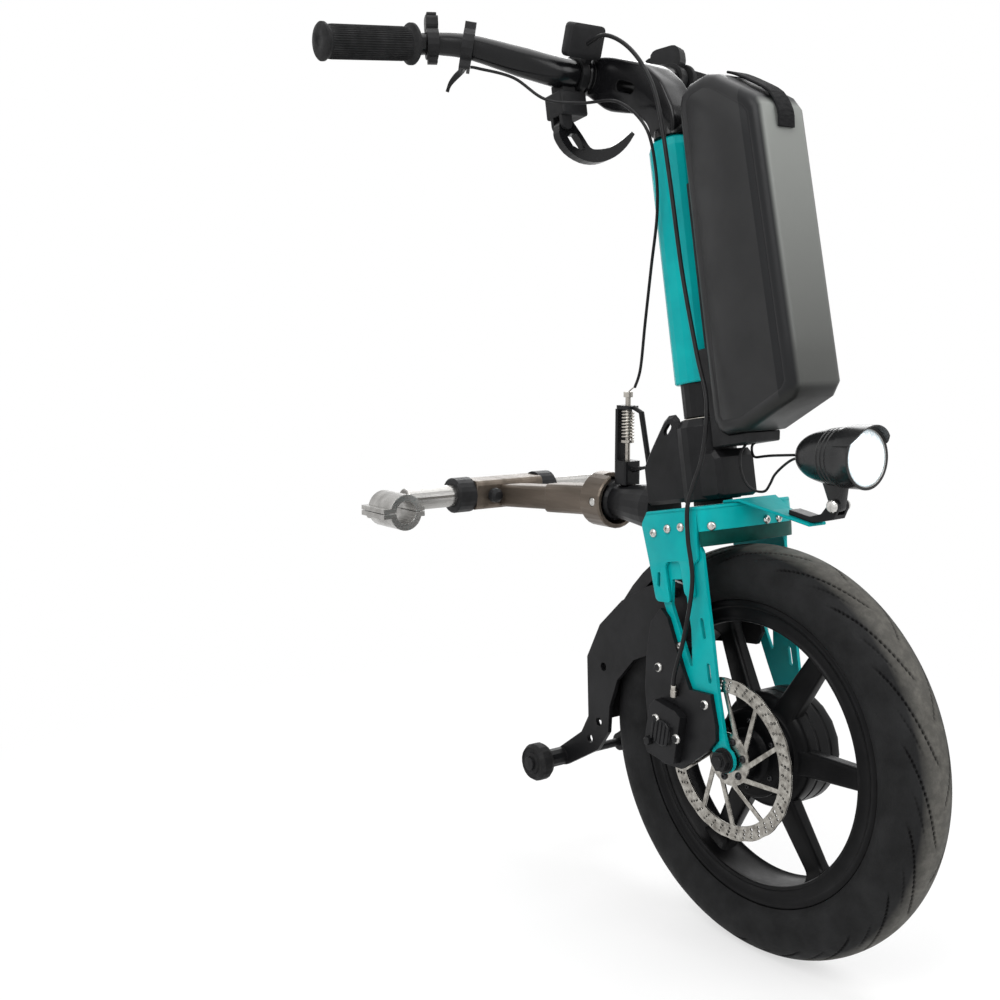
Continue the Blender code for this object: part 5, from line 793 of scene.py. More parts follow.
def buildSpoke():
    spec = spokeSpec
    flare, flareTo = spec["rootFlare"]
    spread, spreadFrom = spec["tipFlare"]
    swell, swellFrom = spec["tipThick"]
    sections = []
    for k in range(spec["steps"] + 1):
        t = k / spec["steps"]
        r = spec["root"] + (spec["tip"] - spec["root"]) * t
        late = max(0.0, (t - swellFrom) / (1 - swellFrom))
        wide = spec["wideRoot"] + (spec["wideTip"] - spec["wideRoot"]) * t
        wide += flare * max(0.0, 1 - t / flareTo) ** 2 + spread * max(0.0, (t - spreadFrom) / (1 - spreadFrom)) ** 2
        deep = spec["thick"] * (1 - 0.12 * t) + swell * late ** 2
        middle = spec["dish"] * t * (1 - late * 0.25)
        sections.append([(r, a, middle + b) for a, b in roundedRing(wide, deep, spec["corner"], 5)])
    return template("spokeTemplate", skin(bmesh.new(), sections))


runTree("wheelSpokes", ringTree, bpy.data.meshes.new("spokesStart"),
        {"Item": buildSpoke(), "Count": spokeSpec["count"], "Start Angle": 0.0},
        "castBlack", "wheel", wheelFrame @ turned(-90, "X"), 45.0)
fasteners("hubCoverBolts", boltCircle(*boltSpec["right"]) + boltCircle(*boltSpec["left"]), buttonTemplate,
          boltSpec["size"], "darkScrew", "wheel")
route = [wheelCentre + Vector((0, 0, -r)) for r, size in valveSpec]
pieceFrom("tyreValve", tube(bmesh.new(), route, [size for r, size in valveSpec], 20), "softRubber", "wheel", (), 30.0)
print("wheel ready")

# brake rotor: one stamped sheet with slanted arms and three rows of holes

rotorSpec = dict(radius=0.080, band=0.0145, plane=-0.0527, thick=0.0020, rim=0.00015, around=280, arms=10,
                 carrier=0.0262, slant=24.0, bore=0.0072, rootHalf=0.125, tipHalf=0.034, gap=0.0002,
                 holes=44, hole=0.00135, large=(4, 1.25),
                 rows=((0.0692, 0.0), (0.0728, 0.5), (0.0763, 0.0)), rake=14.0, waves=20, wave=0.0007,
                 bolts=(0.0190, -0.0537, 6, 0.25), boltSize=0.0038)


def buildRotor():
    spec = rotorSpec
    inner = spec["radius"] - spec["band"]
    outer = []
    for k in range(spec["around"]):
        a = math.tau * k / spec["around"]
        r = spec["radius"] - spec["wave"] * (0.5 + 0.5 * math.cos(spec["waves"] * a)) ** 2
        outer.append((r * math.cos(a), r * math.sin(a)))
    holes = [[(spec["bore"] * c, spec["bore"] * s) for c, s in circle(32)]]
    pitch = math.tau / spec["arms"]
    slant = math.radians(spec["slant"])
    root, tip = spec["rootHalf"], spec["tipHalf"]
    for k in range(spec["arms"]):
        near = [(spec["carrier"], pitch * k + root + (pitch - 2 * root) * t / 5) for t in range(6)]
        far = [(inner - spec["gap"], pitch * k + slant + tip + (pitch - 2 * tip) * t / 9) for t in range(9, -1, -1)]
        holes.append([(r * math.cos(a), r * math.sin(a)) for r, a in near + far])
    every, more = spec["large"]
    for r, shift in spec["rows"]:
        for k in range(spec["holes"]):
            a = math.tau * (k + shift) / spec["holes"] + (r - inner) * spec["rake"]
            size = spec["hole"] * (more if k % every == 0 else 1.0)
            holes.append([(r * math.cos(a) + size * c, r * math.sin(a) + size * s) for c, s in circle(9)])
    place = wheelFrame @ shifted(0, spec["plane"], 0) @ turned(90, "X")
    return sheetMetal("brakeDisc", outer, holes, spec["thick"], spec["rim"], place)


pieceFrom("brakeDisc", buildRotor(), "rotorSteel", "wheel", ["brake_rotor"], 30.0)
fasteners("brakeDiscBolts", boltCircle(*rotorSpec["bolts"]), buttonTemplate, rotorSpec["boltSize"], "darkScrew",
          "wheel")
print("rotor ready")

# screws

crownScrewSpec = dict(side=0.0640, front=0.041, bulge=0.019, band=(-60.0, 10.0, 28.0, 60.0), bandLow=-0.0200,
                      flank=((-0.0234, -0.0220), (-0.0023, -0.0190), (0.0169, -0.0185)), size=0.0046)
sideScrewSpec = dict(  # forward, to the left and up in the steering frame
    caliperScrews=dict(size=0.0052, at=((-0.0385, -0.0748, -0.2085), (-0.0115, -0.0748, -0.2270),
                                        (-0.0370, -0.0649, -0.1580), (0.0240, -0.0649, -0.1930))),
    legScrews=dict(size=0.0048, at=[(g, s * 0.0599, h) for s in (-1, 1)
                                    for g, h in ((-0.0068, -0.1370), (-0.0205, -0.0850))]))
spec = crownScrewSpec
places = [(onSteer(g, s * spec["side"], h), steerTurned(0, s, 0)) for g, h in spec["flank"] for s in (-1, 1)]
for degrees in spec["band"]:
    c, s = math.cos(math.radians(degrees)), math.sin(math.radians(degrees))
    places.append((onSteer(spec["front"] + spec["bulge"] * c, spec["side"] * s, spec["bandLow"]),
                   steerTurned(c / spec["bulge"], s / spec["side"], 0).normalized()))
fasteners("crownScrews", places, buttonTemplate, spec["size"], "brightScrew", "steered")
for name, spec in sideScrewSpec.items():
    places = [(onSteer(*at), steerTurned(0, math.copysign(1, at[1]), 0)) for at in spec["at"]]
    fasteners(name, places, buttonTemplate, spec["size"], "brightScrew", "steered")
print("screws ready")

# battery: case with soft corners and a seam along each side panel

shellSpec = dict(back=0.0435, half=0.034, frontTop=0.1480, frontLow=0.1565, low=0.0665, high=0.4130, chamfer=0.072,
                 corner=0.0105, segments=8, seam=((0.0022, 0.0), (0.0005, -0.0004), (0.0005, 0.0), (0.0005, 0.0004)))


def buildShell():
    spec = shellSpec
    low, high, back = spec["low"], spec["high"], spec["back"]
    frontTop, frontLow = spec["frontTop"], spec["frontLow"]
    shape = prism([(back, low + 0.016), (back + 0.006, low + 0.004), (back + 0.014, low),
                   (frontLow - spec["chamfer"], low), (frontLow - 0.010, low + 0.0230), (frontLow, low + 0.0360),
                   (frontLow - 0.0015, low + 0.080), (frontTop + 0.0008, high - 0.075), (frontTop, high - 0.0500),
                   (frontTop - 0.008, high - 0.0370), (frontTop - 0.050, high - 0.0050), (frontTop - 0.064, high),
                   (back + 0.018, high - 0.002), (back + 0.005, high - 0.010), (back, high - 0.022)], spec["half"])
    soften(shape, [e for e in shape.edges if abs(e.verts[0].co.y - e.verts[1].co.y) < 1e-6], spec["corner"],
           spec["segments"])
    flanks = sorted(shape.faces, key=lambda f: -f.calc_area())
    flanks = [f for f in flanks if abs(f.normal.y) > 0.99][:2]
    for step, deep in spec["seam"]:
        for flank in flanks:
            bmesh.ops.inset_region(shape, faces=[flank], thickness=step, depth=deep, use_even_offset=True)
    bmesh.ops.transform(shape, matrix=steerFrame, verts=shape.verts)
    return shape


pieceFrom("batteryShell", buildShell(), "batteryShell", "battery", ["battery_case"], 40.0)
print("battery ready")

# headlight lens: fluted glass that glows

lampSpec = dict(back=(0.1243, 0.0, 0.0375), down=7.9, length=0.0765, radius=0.0285, wall=0.0022)
lampFrame = steerFrame @ shifted(*lampSpec["back"]) @ turned(lampSpec["down"], "Y")
lensSpec = dict(gap=0.0003, flutes=18, deep=0.00035, start=0.006, rise=0.004, flat=0.0240, around=144, tip=0.0031,
                profile=((0.0030, 0.0030), (0.0062, 0.0028), (0.0105, 0.0023), (0.0150, 0.0017), (0.0190, 0.0010),
                         (0.0225, 0.0002), (0.0248, -0.0008)), rim=(-0.0016, -0.0056))
lensLook = dict(coat=1.0, coatRough=0.03, facet=260.0, flutes=36.0, middle=(0.006, 0.020), rimFrom=(0.0235, 0.0255),
                clear=(0.93, 0.96, 0.98), deep=(0.62, 0.78, 0.84), spark=(0.98, 0.99, 1.0), rim=(0.42, 0.50, 0.54),
                sparkFrom=(0.30, 0.70, 0.0, 0.35), rough=(0.06, 0.16), relief=0.0006, glow=0.42)


def buildLens():
    spec, long, count = lensSpec, lampSpec["length"], lensSpec["around"]
    outer = lampSpec["radius"] - lampSpec["wall"] - spec["gap"]
    sections = []
    for r, h in spec["profile"] + tuple((outer, h) for h in spec["rim"]):
        share = min(1.0, max(0.0, (r - spec["start"]) / spec["rise"])) * (r < spec["flat"])
        waves = [spec["deep"] * math.cos(math.tau * k / count * spec["flutes"]) * share for k in range(count)]
        sections.append([(long + h + wave, r * c, r * s) for (c, s), wave in zip(circle(count), waves)])
    shape = skin(bmesh.new(), sections, False)
    first, last = shape.verts[:count], shape.verts[-count:]
    tip = shape.verts.new((long + spec["tip"], 0, 0))
    for m in range(count):
        shape.faces.new((tip, first[(m + 1) % count], first[m]))
    shape.faces.new(last)
    bmesh.ops.transform(shape, matrix=lampFrame, verts=shape.verts)
    return shape


def lensMaterial(look):
    tree, shader, vector = startMaterial("lampLens", {**plainLook, **look})
    level = (0.0, steerAngle - math.radians(lampSpec["down"]), 0.0)
    square = mapped(tree, mapped(tree, vector, Location=-lampFrame.translation), Rotation=level)
    apart = put(tree, "SeparateXYZ", {"Vector": square}).outputs
    angle = mathNode(tree, "ARCTAN2", apart["Z"], apart["Y"])
    flute = mathNode(tree, "COSINE", mathNode(tree, "MULTIPLY", angle, look["flutes"]))
    across = lengthOf(tree, Y=apart["Y"], Z=apart["Z"])
    facet = put(tree, "TexVoronoi", {"Vector": square, "Scale": look["facet"]}, feature="F1").outputs["Distance"]
    pattern = mathNode(tree, "MULTIPLY", remap(tree, flute, -1.0, 1.0), remap(tree, across, *look["middle"]))
    tone = mixColour(tree, pattern, look["clear"], look["deep"])
    tone = mixColour(tree, remap(tree, facet, *look["sparkFrom"]), tone, look["spark"])
    tone = mixColour(tree, remap(tree, across, *look["rimFrom"]), tone, look["rim"])
    tree.links.new(tone, shader.inputs["Base Color"])
    tree.links.new(tone, shader.inputs["Emission Color"])
    shader.inputs["Emission Strength"].default_value = look["glow"]
    tree.links.new(remap(tree, pattern, 0.0, 1.0, *look["rough"]), shader.inputs["Roughness"])
    height = mathNode(tree, "ADD", pattern, facet)
    bump = put(tree, "Bump", {"Strength": 0.5, "Distance": look["relief"], "Height": height})
    tree.links.new(bump.outputs[0], shader.inputs["Normal"])


lensMaterial(lensLook)
pieceFrom("lampLens", buildLens(), "lampLens", "lamp", ["headlight_lens"], 50.0)

# lamp leads, release cable and brake hose; the last two on the routes that the source gives

leadBend = ("steered", "lamp", onSteer(0.080, 0, 0.030), onSteer(0.122, 0, 0.038))
cordSpec = dict(
    upperLampLead=dict(
        node=None, radius=0.0013, stiffness="limp", lay="loose", body=leadBend, steps=8, sides=14, angle=35.0,
        points=((0.0628, 0.004, 0.0564), (0.0577, 0.0052, 0.0542), (0.0555, 0.006, 0.0491), (0.0577, 0.005, 0.0440),
                (0.0628, 0.0036, 0.0419), (0.0740, 0.0016, 0.0417), (0.0870, 0.0, 0.0412), (0.1040, 0.0, 0.0398),
                (0.1170, 0.002, 0.0386), (0.1262, 0.0024, 0.0382))),
    lowerLampLead=dict(
        node=None, radius=0.0013, stiffness="limp", lay="loose", body=leadBend, steps=8, sides=14, angle=35.0,
        points=((0.0600, -0.006, 0.0556), (0.0545, -0.009, 0.0470), (0.0530, -0.010, 0.0330), (0.0560, -0.008, 0.0180),
                (0.0640, -0.005, 0.0095), (0.0740, -0.002, 0.0078), (0.0800, 0.0, 0.0140), (0.0870, 0.0, 0.0220),
                (0.0990, -0.001, 0.0290), (0.1130, -0.002, 0.0345), (0.1262, -0.0024, 0.0358))),
    releaseCable=dict(
        node="release_cable", radius=0.0016, stiffness="medium", lay="hanging", steps=9, sides=16, angle=60.0,
        body=("steered", "head", onSteer(-0.0020, -0.0310, 0.3400), onSteer(-0.0880, -0.0060, 0.1440)),
        points=((-0.14301, -0.14112, 0.48612), (-0.1386, -0.13395, 0.48391), (-0.1180, -0.1050, 0.4700),
                (-0.0960, -0.0830, 0.4420), (-0.0640, -0.0600, 0.4300), (-0.0260, -0.0460, 0.4200),
                (0.0040, -0.0400, 0.3860), (0.0060, -0.0340, 0.3450), (-0.0020, -0.0310, 0.3000),
                (-0.0220, -0.0290, 0.2480), (-0.0470, -0.0230, 0.1950), (-0.0740, -0.0120, 0.1520),
                (-0.0950, -0.0040, 0.1350))),
    brakeHose=dict(
        node="brake_hose", radius=0.0022, stiffness="stiff", lay="hanging", steps=9, sides=16, angle=60.0,
        body="steered",
        points=((-0.0600, -0.0480, 0.4920), (-0.0300, -0.0500, 0.4900), (-0.0040, -0.0450, 0.4700),
                (0.0160, -0.0420, 0.4380), (0.0260, -0.0400, 0.4000), (0.0300, -0.0395, 0.3300),
                (0.0330, -0.0395, 0.2300), (0.0420, -0.0410, 0.1500), (0.0520, -0.0450, 0.1000),
                (0.0480, -0.0540, 0.0500), (0.0400, -0.0640, 0.0200), (0.0350, -0.0695, 0.0000),
                (0.0330, -0.0715, -0.0300), (0.0330, -0.0720, -0.0720), (0.0140, -0.0730, -0.1250),
                (-0.0080, -0.0720, -0.1650), (-0.0160, -0.0680, -0.1850))))
for name, spec in cordSpec.items():
    route = [steerFrame @ p for p in smoothRoute(spec["points"], spec["steps"])]
    shape = tube(bmesh.new(), route, spec["radius"], spec["sides"])
    stands = [spec["node"]] if spec["node"] else ()
    piece = pieceFrom(name, shape, "cableJacket", spec["body"], stands, spec["angle"])
    print(name, round(lengthAlong(route), 4))

# latch spring: a coil that shortens against the bracket's top as the plunger rises; here it is drawn at rest

coilSpec = dict(centre=(0.239, 0.0), low=0.0836, high=0.1146, radius=0.0062, wire=0.0011, turns=9, steps=20,
                top=0.1157, travel=0.0078)
spec = coilSpec
count = spec["turns"] * spec["steps"]
route = []
for k in range(count + 1):
    a = math.tau * k / spec["steps"]
    route.append(Vector((spec["centre"][0] + spec["radius"] * math.cos(a),
                         spec["centre"][1] + spec["radius"] * math.sin(a),
                         spec["low"] + (spec["high"] - spec["low"]) * k / count)))
piece = pieceFrom("latchCoil", tube(bmesh.new(), route, spec["wire"], 8), "brushedSteel", "head", ["latch_spring"],
                  60.0)
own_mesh(piece)

# pull wire: from the release cable's end to the plunger's head; drawn at rest, not moved with the plunger

wireSpec = dict(end=(0.239, 0.0, 0.1342), bow=(0.0008, 0.0, 0.0012), radius=0.0007, steps=12)
cableEnd, wireEnd = onSteer(*cordSpec["releaseCable"]["points"][-1]), Vector(wireSpec["end"])
route = [cableEnd.lerp(wireEnd, t) + Vector(wireSpec["bow"]) * math.sin(math.pi * t)
         for t in (k / wireSpec["steps"] for k in range(wireSpec["steps"] + 1))]
pieceFrom("latchWire", tube(bmesh.new(), route, wireSpec["radius"], 10), "brushedSteel",
          ("head", "plunger", cableEnd, wireEnd), (), 60.0)
print("cables and latch ready")

# fork crown: folded sheet with a rounded apron, and an inturned lower lip painted dark as painted shade; outlines are
# forward and up

crownSpec = dict(inner=0.0600, outer=0.0640, back=-0.041, front=0.041, bulge=0.019, skirt=0.0245, wall=0.0040,
                 sheet=0.0040, rim=0.0007, fillet=0.0030, side=0.052, drop=0.091, corner=0.009,
                 slot=(-0.0240, -0.0690, 0.0150, 0.0042, 80), top=0.0050, topRim=0.0014, topAt=-0.0025,
                 levels=(-0.0030, -0.0080, -0.0160, -0.0245),
                 seat=((0.0, -0.0040), (0.0262, -0.0040), (0.0270, -0.0048), (0.0270, -0.0084), (0.0262, -0.0090),
                       (0.0, -0.0090)))
lipSpec = dict(low=0.0392, inset=0.0050, start=0.0004, power=1.6, gap=0.0003, wall=0.0030, narrow=0.94, steps=4)


def apron(reach, half):
    turns = [math.radians(2.5 * k) for k in range(-36, 37)]
    return [(crownSpec["front"] + reach * math.cos(a), half * math.sin(a)) for a in turns]


def buildCrown():
    spec = crownSpec
    drop, side, back, inner, outer = spec["drop"], spec["side"], spec["back"], spec["inner"], spec["outer"]
    flank = [(back + spec["corner"], -0.0012), (back, -0.012), (-0.0355, -side), (-0.0320, 0.003 - drop),
             (-0.0290, -drop), (-0.0135, -drop - 0.002), (-0.0110, -drop), (-0.0125, -side - 0.004),
             (-0.0090, -side), (0.0070, -side), (0.0098, -side - 0.004), (0.0108, 0.008 - drop),
             (0.0135, 0.004 - drop), (0.0215, 0.002 - drop), (0.0243, 0.005 - drop), (0.0262, -side - 0.004),
             (0.0345, -side), (spec["front"], -0.0012)]
    shape = bmesh.new()
    for s in (-1, 1):
        joinedInto(shape, plateAt("crownFlank", softCorners(flank, spec["fillet"]), [slotOutline(*spec["slot"])],
                                  spec["sheet"], spec["rim"], s * (inner + outer) / 2))
    bulge = apron(spec["bulge"], outer)
    plan = [(back + spec["corner"], -outer)] + bulge + [(back + spec["corner"], outer)]
    joinedInto(shape, sheetMetal("crownTop", plan, [], spec["top"], spec["topRim"],
                                 steerFrame @ shifted(0, 0, spec["topAt"])))
    inside = [(x - spec["wall"], y * inner / outer) for x, y in reversed(bulge)]
    skin(shape, [[(x, y, h) for x, y in bulge + inside] for h in spec["levels"]], True, steerFrame)
    return lathe(shape, spec["seat"], 48, "Z", steerFrame)


def buildLip():
    spec = lipSpec
    sections = []
    for k in range(spec["steps"] + 1):
        t = k / spec["steps"]
        h = -crownSpec["skirt"] - (spec["low"] - crownSpec["skirt"]) * t
        inset = spec["inset"] * t ** spec["power"] + spec["start"]
        curve = apron(crownSpec["bulge"] - inset, crownSpec["outer"] - spec["gap"])
        inside = [(x - spec["wall"], y * spec["narrow"]) for x, y in reversed(curve)]
        sections.append([(x, y, h) for x, y in curve + inside])
    return skin(bmesh.new(), sections, True, steerFrame)


pieceFrom("crownSheet", weld(buildCrown()), "tealPaint", "steered", ["fork_crown"], 40.0)
# painted shade: the lower lip takes a dark teal for the shade under the crown
pieceFrom("crownLip", buildLip(), "shadedTeal", "steered", (), 50.0)
print("crown ready")

# handlebar: one side's points and radii, mirrored

barSpec = dict(points=((-0.1057, 0.0, 0.4771), (-0.1057, 0.030, 0.4771), (-0.1057, 0.054, 0.4771),
                       (-0.1180, 0.090, 0.4880), (-0.1440, 0.137, 0.5080), (-0.1620, 0.166, 0.5148),
                       (-0.1700, 0.186, 0.5150), (-0.1765, 0.294, 0.5070)),
               radii=(0.0159, 0.0159, 0.0159, 0.01542, 0.01272, 0.01154, 0.0111, 0.0111), steps=9, sides=32)
barFar = smoothRoute(barSpec["points"][:-1], barSpec["steps"]) + [Vector(barSpec["points"][-1])]
radii = barSpec["radii"]
barSizes = []
for k in range(len(barFar) - 1):
    i = min(k // barSpec["steps"], len(radii) - 3)
    barSizes.append(radii[i] + (radii[i + 1] - radii[i]) * (k / barSpec["steps"] - i))
barSizes.append(radii[-1])
barNear = [Vector((p.x, -p.y, p.z)) for p in barFar]
shape = tube(bmesh.new(), barNear[::-1] + barFar[1:], barSizes[::-1] + barSizes[1:], barSpec["sides"], steerFrame)
pieceFrom("handlebarTube", shape, "glossBlack", "steered", ["handlebar"], 40.0)

# stem: neck with a window, clamp round the bar and collar on the column

stemSpec = dict(low=0.378, half=0.018, clamp=(-0.1057, 0.4771), clampRadius=0.0206, clampHalf=0.024, edge=0.0016,
                corner=(0.0085, 5), rim=(0.0040, 4), window=(-0.0430, 0.444, 0.030, 0.012, -28), cutter=0.03,
                collar=((0.0, -0.001), (0.0215, -0.001), (0.0215, 0.006), (0.0205, 0.0075), (0.0, 0.0075)),
                collarAt=0.0030, screws=(150, 205), screwSide=0.0165, screwSize=0.0036)
cx, cz = stemSpec["clamp"]


def buildStem():
    spec = stemSpec
    low, half, r, w, edge = spec["low"], spec["half"], spec["clampRadius"], spec["clampHalf"], spec["edge"]
    shape = prism([(0.0220, low + 0.0004), (0.0235, low + 0.020), (0.0100, low + 0.056), (-0.0120, low + 0.080),
                   (-0.0360, low + 0.092), (-0.0650, low + 0.106), (cx + 0.006, cz + 0.0185),
                   (cx - 0.006, cz - 0.0175), (-0.0780, low + 0.052), (-0.0640, low + 0.046),
                   (-0.0360, low + 0.036), (-0.0170, low + 0.018), (-0.0150, low + 0.0004)], half)
    soften(shape, [e for e in shape.edges if abs(e.verts[0].co.y - e.verts[1].co.y) > half], *spec["corner"])
    soften(shape, [e for e in shape.edges if abs(e.verts[0].co.y - e.verts[1].co.y) < 1e-6
                   and abs(abs(e.verts[0].co.y) - half) < 1e-6], *spec["rim"])
    window = slotOutline(*spec["window"])
    shape = carve(shape, skin(bmesh.new(), [[(x, y, z) for x, z in window]
                                            for y in (-spec["cutter"], spec["cutter"])]))
    bmesh.ops.transform(shape, matrix=steerFrame, verts=shape.verts)
    lathe(shape, [(0.0, -w), (r - edge, -w), (r, -w + edge), (r, w - edge), (r - edge, w), (0.0, w)], 64, "Y",
          steerFrame @ shifted(cx, 0, cz))
    return lathe(shape, spec["collar"], 48, "Z", steerFrame @ shifted(spec["collarAt"], 0, low))


pieceFrom("stemNeck", weld(buildStem()), "glossBlack", "steered", ["stem"], 40.0)
stemScrews = []
for side in (-stemSpec["screwSide"], stemSpec["screwSide"]):
    for degrees in stemSpec["screws"]:
        c, s = math.cos(math.radians(degrees)), math.sin(math.radians(degrees))
        r = stemSpec["clampRadius"]
        stemScrews.append((onSteer(cx + c * r, side, cz + s * r), steerTurned(c, 0, s)))
fasteners("stemScrews", stemScrews, capTemplate, stemSpec["screwSize"], "darkScrew", "steered")
print("bar ready")

# grips: flanged sleeves with fine lengthwise ribs

gripSpec = dict(inner=0.192, length=0.108, radius=0.0164, flange=0.0213, around=72)
ribSpec = dict(count=44, start=0.03, wide=0.0013, high=0.0009, end=0.0080, fadeFrom=0.0070, fade=0.0030, steps=18,
               sunk=0.0003, shoulder=(0.8, 0.0002, 0.7), crest=0.0003)


def buildRib():
    spec = ribSpec
    share, lift, narrow = spec["shoulder"]
    base, half, long = gripSpec["radius"] - spec["sunk"], spec["wide"] / 2, gripSpec["length"]
    sections = []
    for k in range(spec["steps"] + 1):
        z = spec["end"] + (long - 2 * spec["end"]) * k / spec["steps"]
        fade = min(1.0, (z - spec["fadeFrom"]) / spec["fade"], (long - spec["fadeFrom"] - z) / spec["fade"])
        high = spec["high"] * fade
        flank, top = base + high * share + lift, base + high + spec["crest"]
        sections.append([(base, -half, z), (flank, -half * narrow, z), (top, 0, z), (flank, half * narrow, z),
                         (base, half, z)])
    return template("ribTemplate", skin(bmesh.new(), sections))


ribItem = buildRib()
last, first = Vector(barSpec["points"][-1]), Vector(barSpec["points"][-2])
start = first.lerp(last, (gripSpec["inner"] - first.y) / (last.y - first.y))
far, r, f = gripSpec["length"], gripSpec["radius"], gripSpec["flange"]
profile = [(0.0113, 0.0), (f - 0.0012, 0.0), (f, 0.0012), (f, 0.0040), (f - 0.0012, 0.0052), (r + 0.0014, 0.0060),
           (r, 0.0076), (r, far - 0.0076), (r + 0.0010, far - 0.0062), (f - 0.0030, far - 0.0052),
           (f - 0.0020, far - 0.0040), (f - 0.0020, far - 0.0016), (f - 0.0034, far - 0.0002),
           (0.0120, far + 0.0010), (0.0060, far + 0.0010), (0.0050, far + 0.0002), (0.0, far + 0.0002)]
for s, name, node in ((-1, "gripRight", "grip_right"), (1, "gripLeft", "grip_left")):
    run = Vector((last.x - first.x, s * (last.y - first.y), last.z - first.z)).normalized()
    right = Vector((0, 0, 1)).cross(run).normalized()
    place = steerFrame @ axesFrame(right, run.cross(right), run, (start.x, s * start.y, start.z))
    shape = lathe(bmesh.new(), profile, gripSpec["around"], "Z", place)
    pieceFrom(name, weld(shape), "softRubber", "steered", [node], 40.0)
    runTree(name + "Ribs", ringTree, bpy.data.meshes.new(name + "Start"),
            {"Item": ribItem, "Count": ribSpec["count"], "Start Angle": ribSpec["start"]},
            "softRubber", "steered", place, 50.0)
print("grips ready")

# release trigger: a slim hooked finger; its frame lies along the bar where the clamp sits

triggerSpec = dict(at=0.140, shift=(-0.0004, -0.0004, 0.0), steps=5, wide=(0.0038, 0.0030, 1.15),
                   thick=(0.0050, 0.0026), round=0.42,
                   route=((0.0016, 0.0008, 0.0), (-0.0060, 0.0006, 0.0010), (-0.0130, -0.0010, 0.0040),
                          (-0.0200, -0.0050, 0.0085), (-0.0260, -0.0110, 0.0125), (-0.0300, -0.0180, 0.0140)))


def buildTrigger():
    spec = triggerSpec
    a, b = next((a, b) for a, b in zip(barNear, barNear[1:]) if abs(b.y) >= spec["at"] > abs(a.y))
    along = (b - a).normalized()
    right = Vector((0, 0, 1)).cross(along).normalized()
    centre = a.lerp(b, (spec["at"] - abs(a.y)) / (abs(b.y) - abs(a.y)))
    place = steerFrame @ axesFrame(right, along.cross(right), along, centre)
    pin = place.inverted() @ Vector(joints["trigger_squeeze"]["pos_m"]) + Vector(spec["shift"])
    route = smoothRoute([pin + Vector(p) for p in spec["route"]], spec["steps"])
    narrow, swell, reach = spec["wide"]
    sections = []
    for i, here in enumerate(route):
        t = i / (len(route) - 1)
        ahead = (route[min(i + 1, len(route) - 1)] - route[max(i - 1, 0)]).normalized()
        up = (Vector((0, 0, 1)) - ahead * ahead.z).normalized()
        across = ahead.cross(up)
        wide = narrow + swell * math.sin(math.pi * min(1.0, t * reach))
        thick = spec["thick"][0] - spec["thick"][1] * t
        sections.append([here + up * a + across * b for a, b in roundedRing(wide, thick, thick * spec["round"], 4)])
    return skin(bmesh.new(), sections, True, place)


pieceFrom("triggerFinger", buildTrigger(), "glossBlack", "trigger", ["trigger_lever"], 50.0)
print("trigger ready")

# headlight body: bullet shell with fins, rolled rim, visor and lug

lampShell = dict(around=96, grooves=(0.0400, 0.0450, 0.0500), grooveDeep=0.0008, finFrom=(0.036, 0.0262), finRun=0.022,
                 visor=66.0, visorReach=0.0100, visorSteps=40, visorEnds=5, seat=0.0058,
                 nose=((0.0, 0.0), (0.0080, 0.0), (0.0095, 0.0006), (0.0122, 0.0024), (0.0146, 0.0044),
                       (0.0165, 0.0066), (0.0186, 0.0098), (0.0206, 0.0138), (0.0222, 0.0180), (0.0235, 0.0228),
                       (0.0247, 0.0284), (0.0257, 0.0344)))
lugSpec = dict(at=(0.1610, -0.0130), radius=0.0062, high=0.0250, fillet=0.0010, thick=0.0090, rim=0.0008, steps=14)


def buildLampShell():
    spec = lampShell
    r, long, wall = lampSpec["radius"], lampSpec["length"], lampSpec["wall"]
    finAt, finSize = spec["finFrom"]
    profile = list(spec["nose"])
    for x in spec["grooves"]:
        size = finSize + (r - finSize) * (x - finAt) / spec["finRun"]
        low = size - spec["grooveDeep"]
        profile += [(size, x - 0.0009), (low, x - 0.0004), (low, x + 0.0004), (size, x + 0.0009)]
    profile += [(r - 0.0003, 0.0560), (r, 0.0590), (r, long - 0.0016), (r + 0.0005, long - 0.0010),
                (r + 0.0004, long - 0.0002), (r - 0.0006, long), (r - wall, long - 0.0004),
                (r - wall, long - spec["seat"]), (0.0, long - spec["seat"])]
    shape = lathe(bmesh.new(), profile, spec["around"], "X", lampFrame)
    count = spec["visorSteps"]
    sections = []
    for k in range(count + 1):
        a = math.radians(spec["visor"] * (2 * k / count - 1))
        edge = min(1.0, min(k, count - k) / spec["visorEnds"])
        reach = spec["visorReach"] * (0.30 + 0.70 * math.sin(math.pi * k / count) ** 0.6) * edge ** 0.5
        ring = [(long - 0.0180, r - 0.0006), (long - 0.0180, r + 0.0010), (long - 0.0150, r + 0.0014),
                (long + reach - 0.0006, r + 0.0018), (long + reach, r + 0.0013), (long + reach - 0.0004, r + 0.0006),
                (long - 0.0010, r - 0.0004)]
        sections.append([(x, s * math.sin(a), s * math.cos(a)) for x, s in ring])
    return skin(shape, sections, True, lampFrame)


def buildLug():
    spec = lugSpec
    (px, pz), size, high = spec["at"], spec["radius"], spec["high"]
    foot = [math.pi + math.pi * k / spec["steps"] for k in range(spec["steps"] + 1)]
    lug = [(px - 0.0130, pz + high), (px - 0.0070, pz + 0.0010)]
    lug += [(px + size * math.cos(a), pz + size * math.sin(a)) for a in foot] + [(px + 0.0140, pz + high)]
    return plateAt("lampLug", softCorners(lug, spec["fillet"], 3), [], spec["thick"], spec["rim"], 0.0)


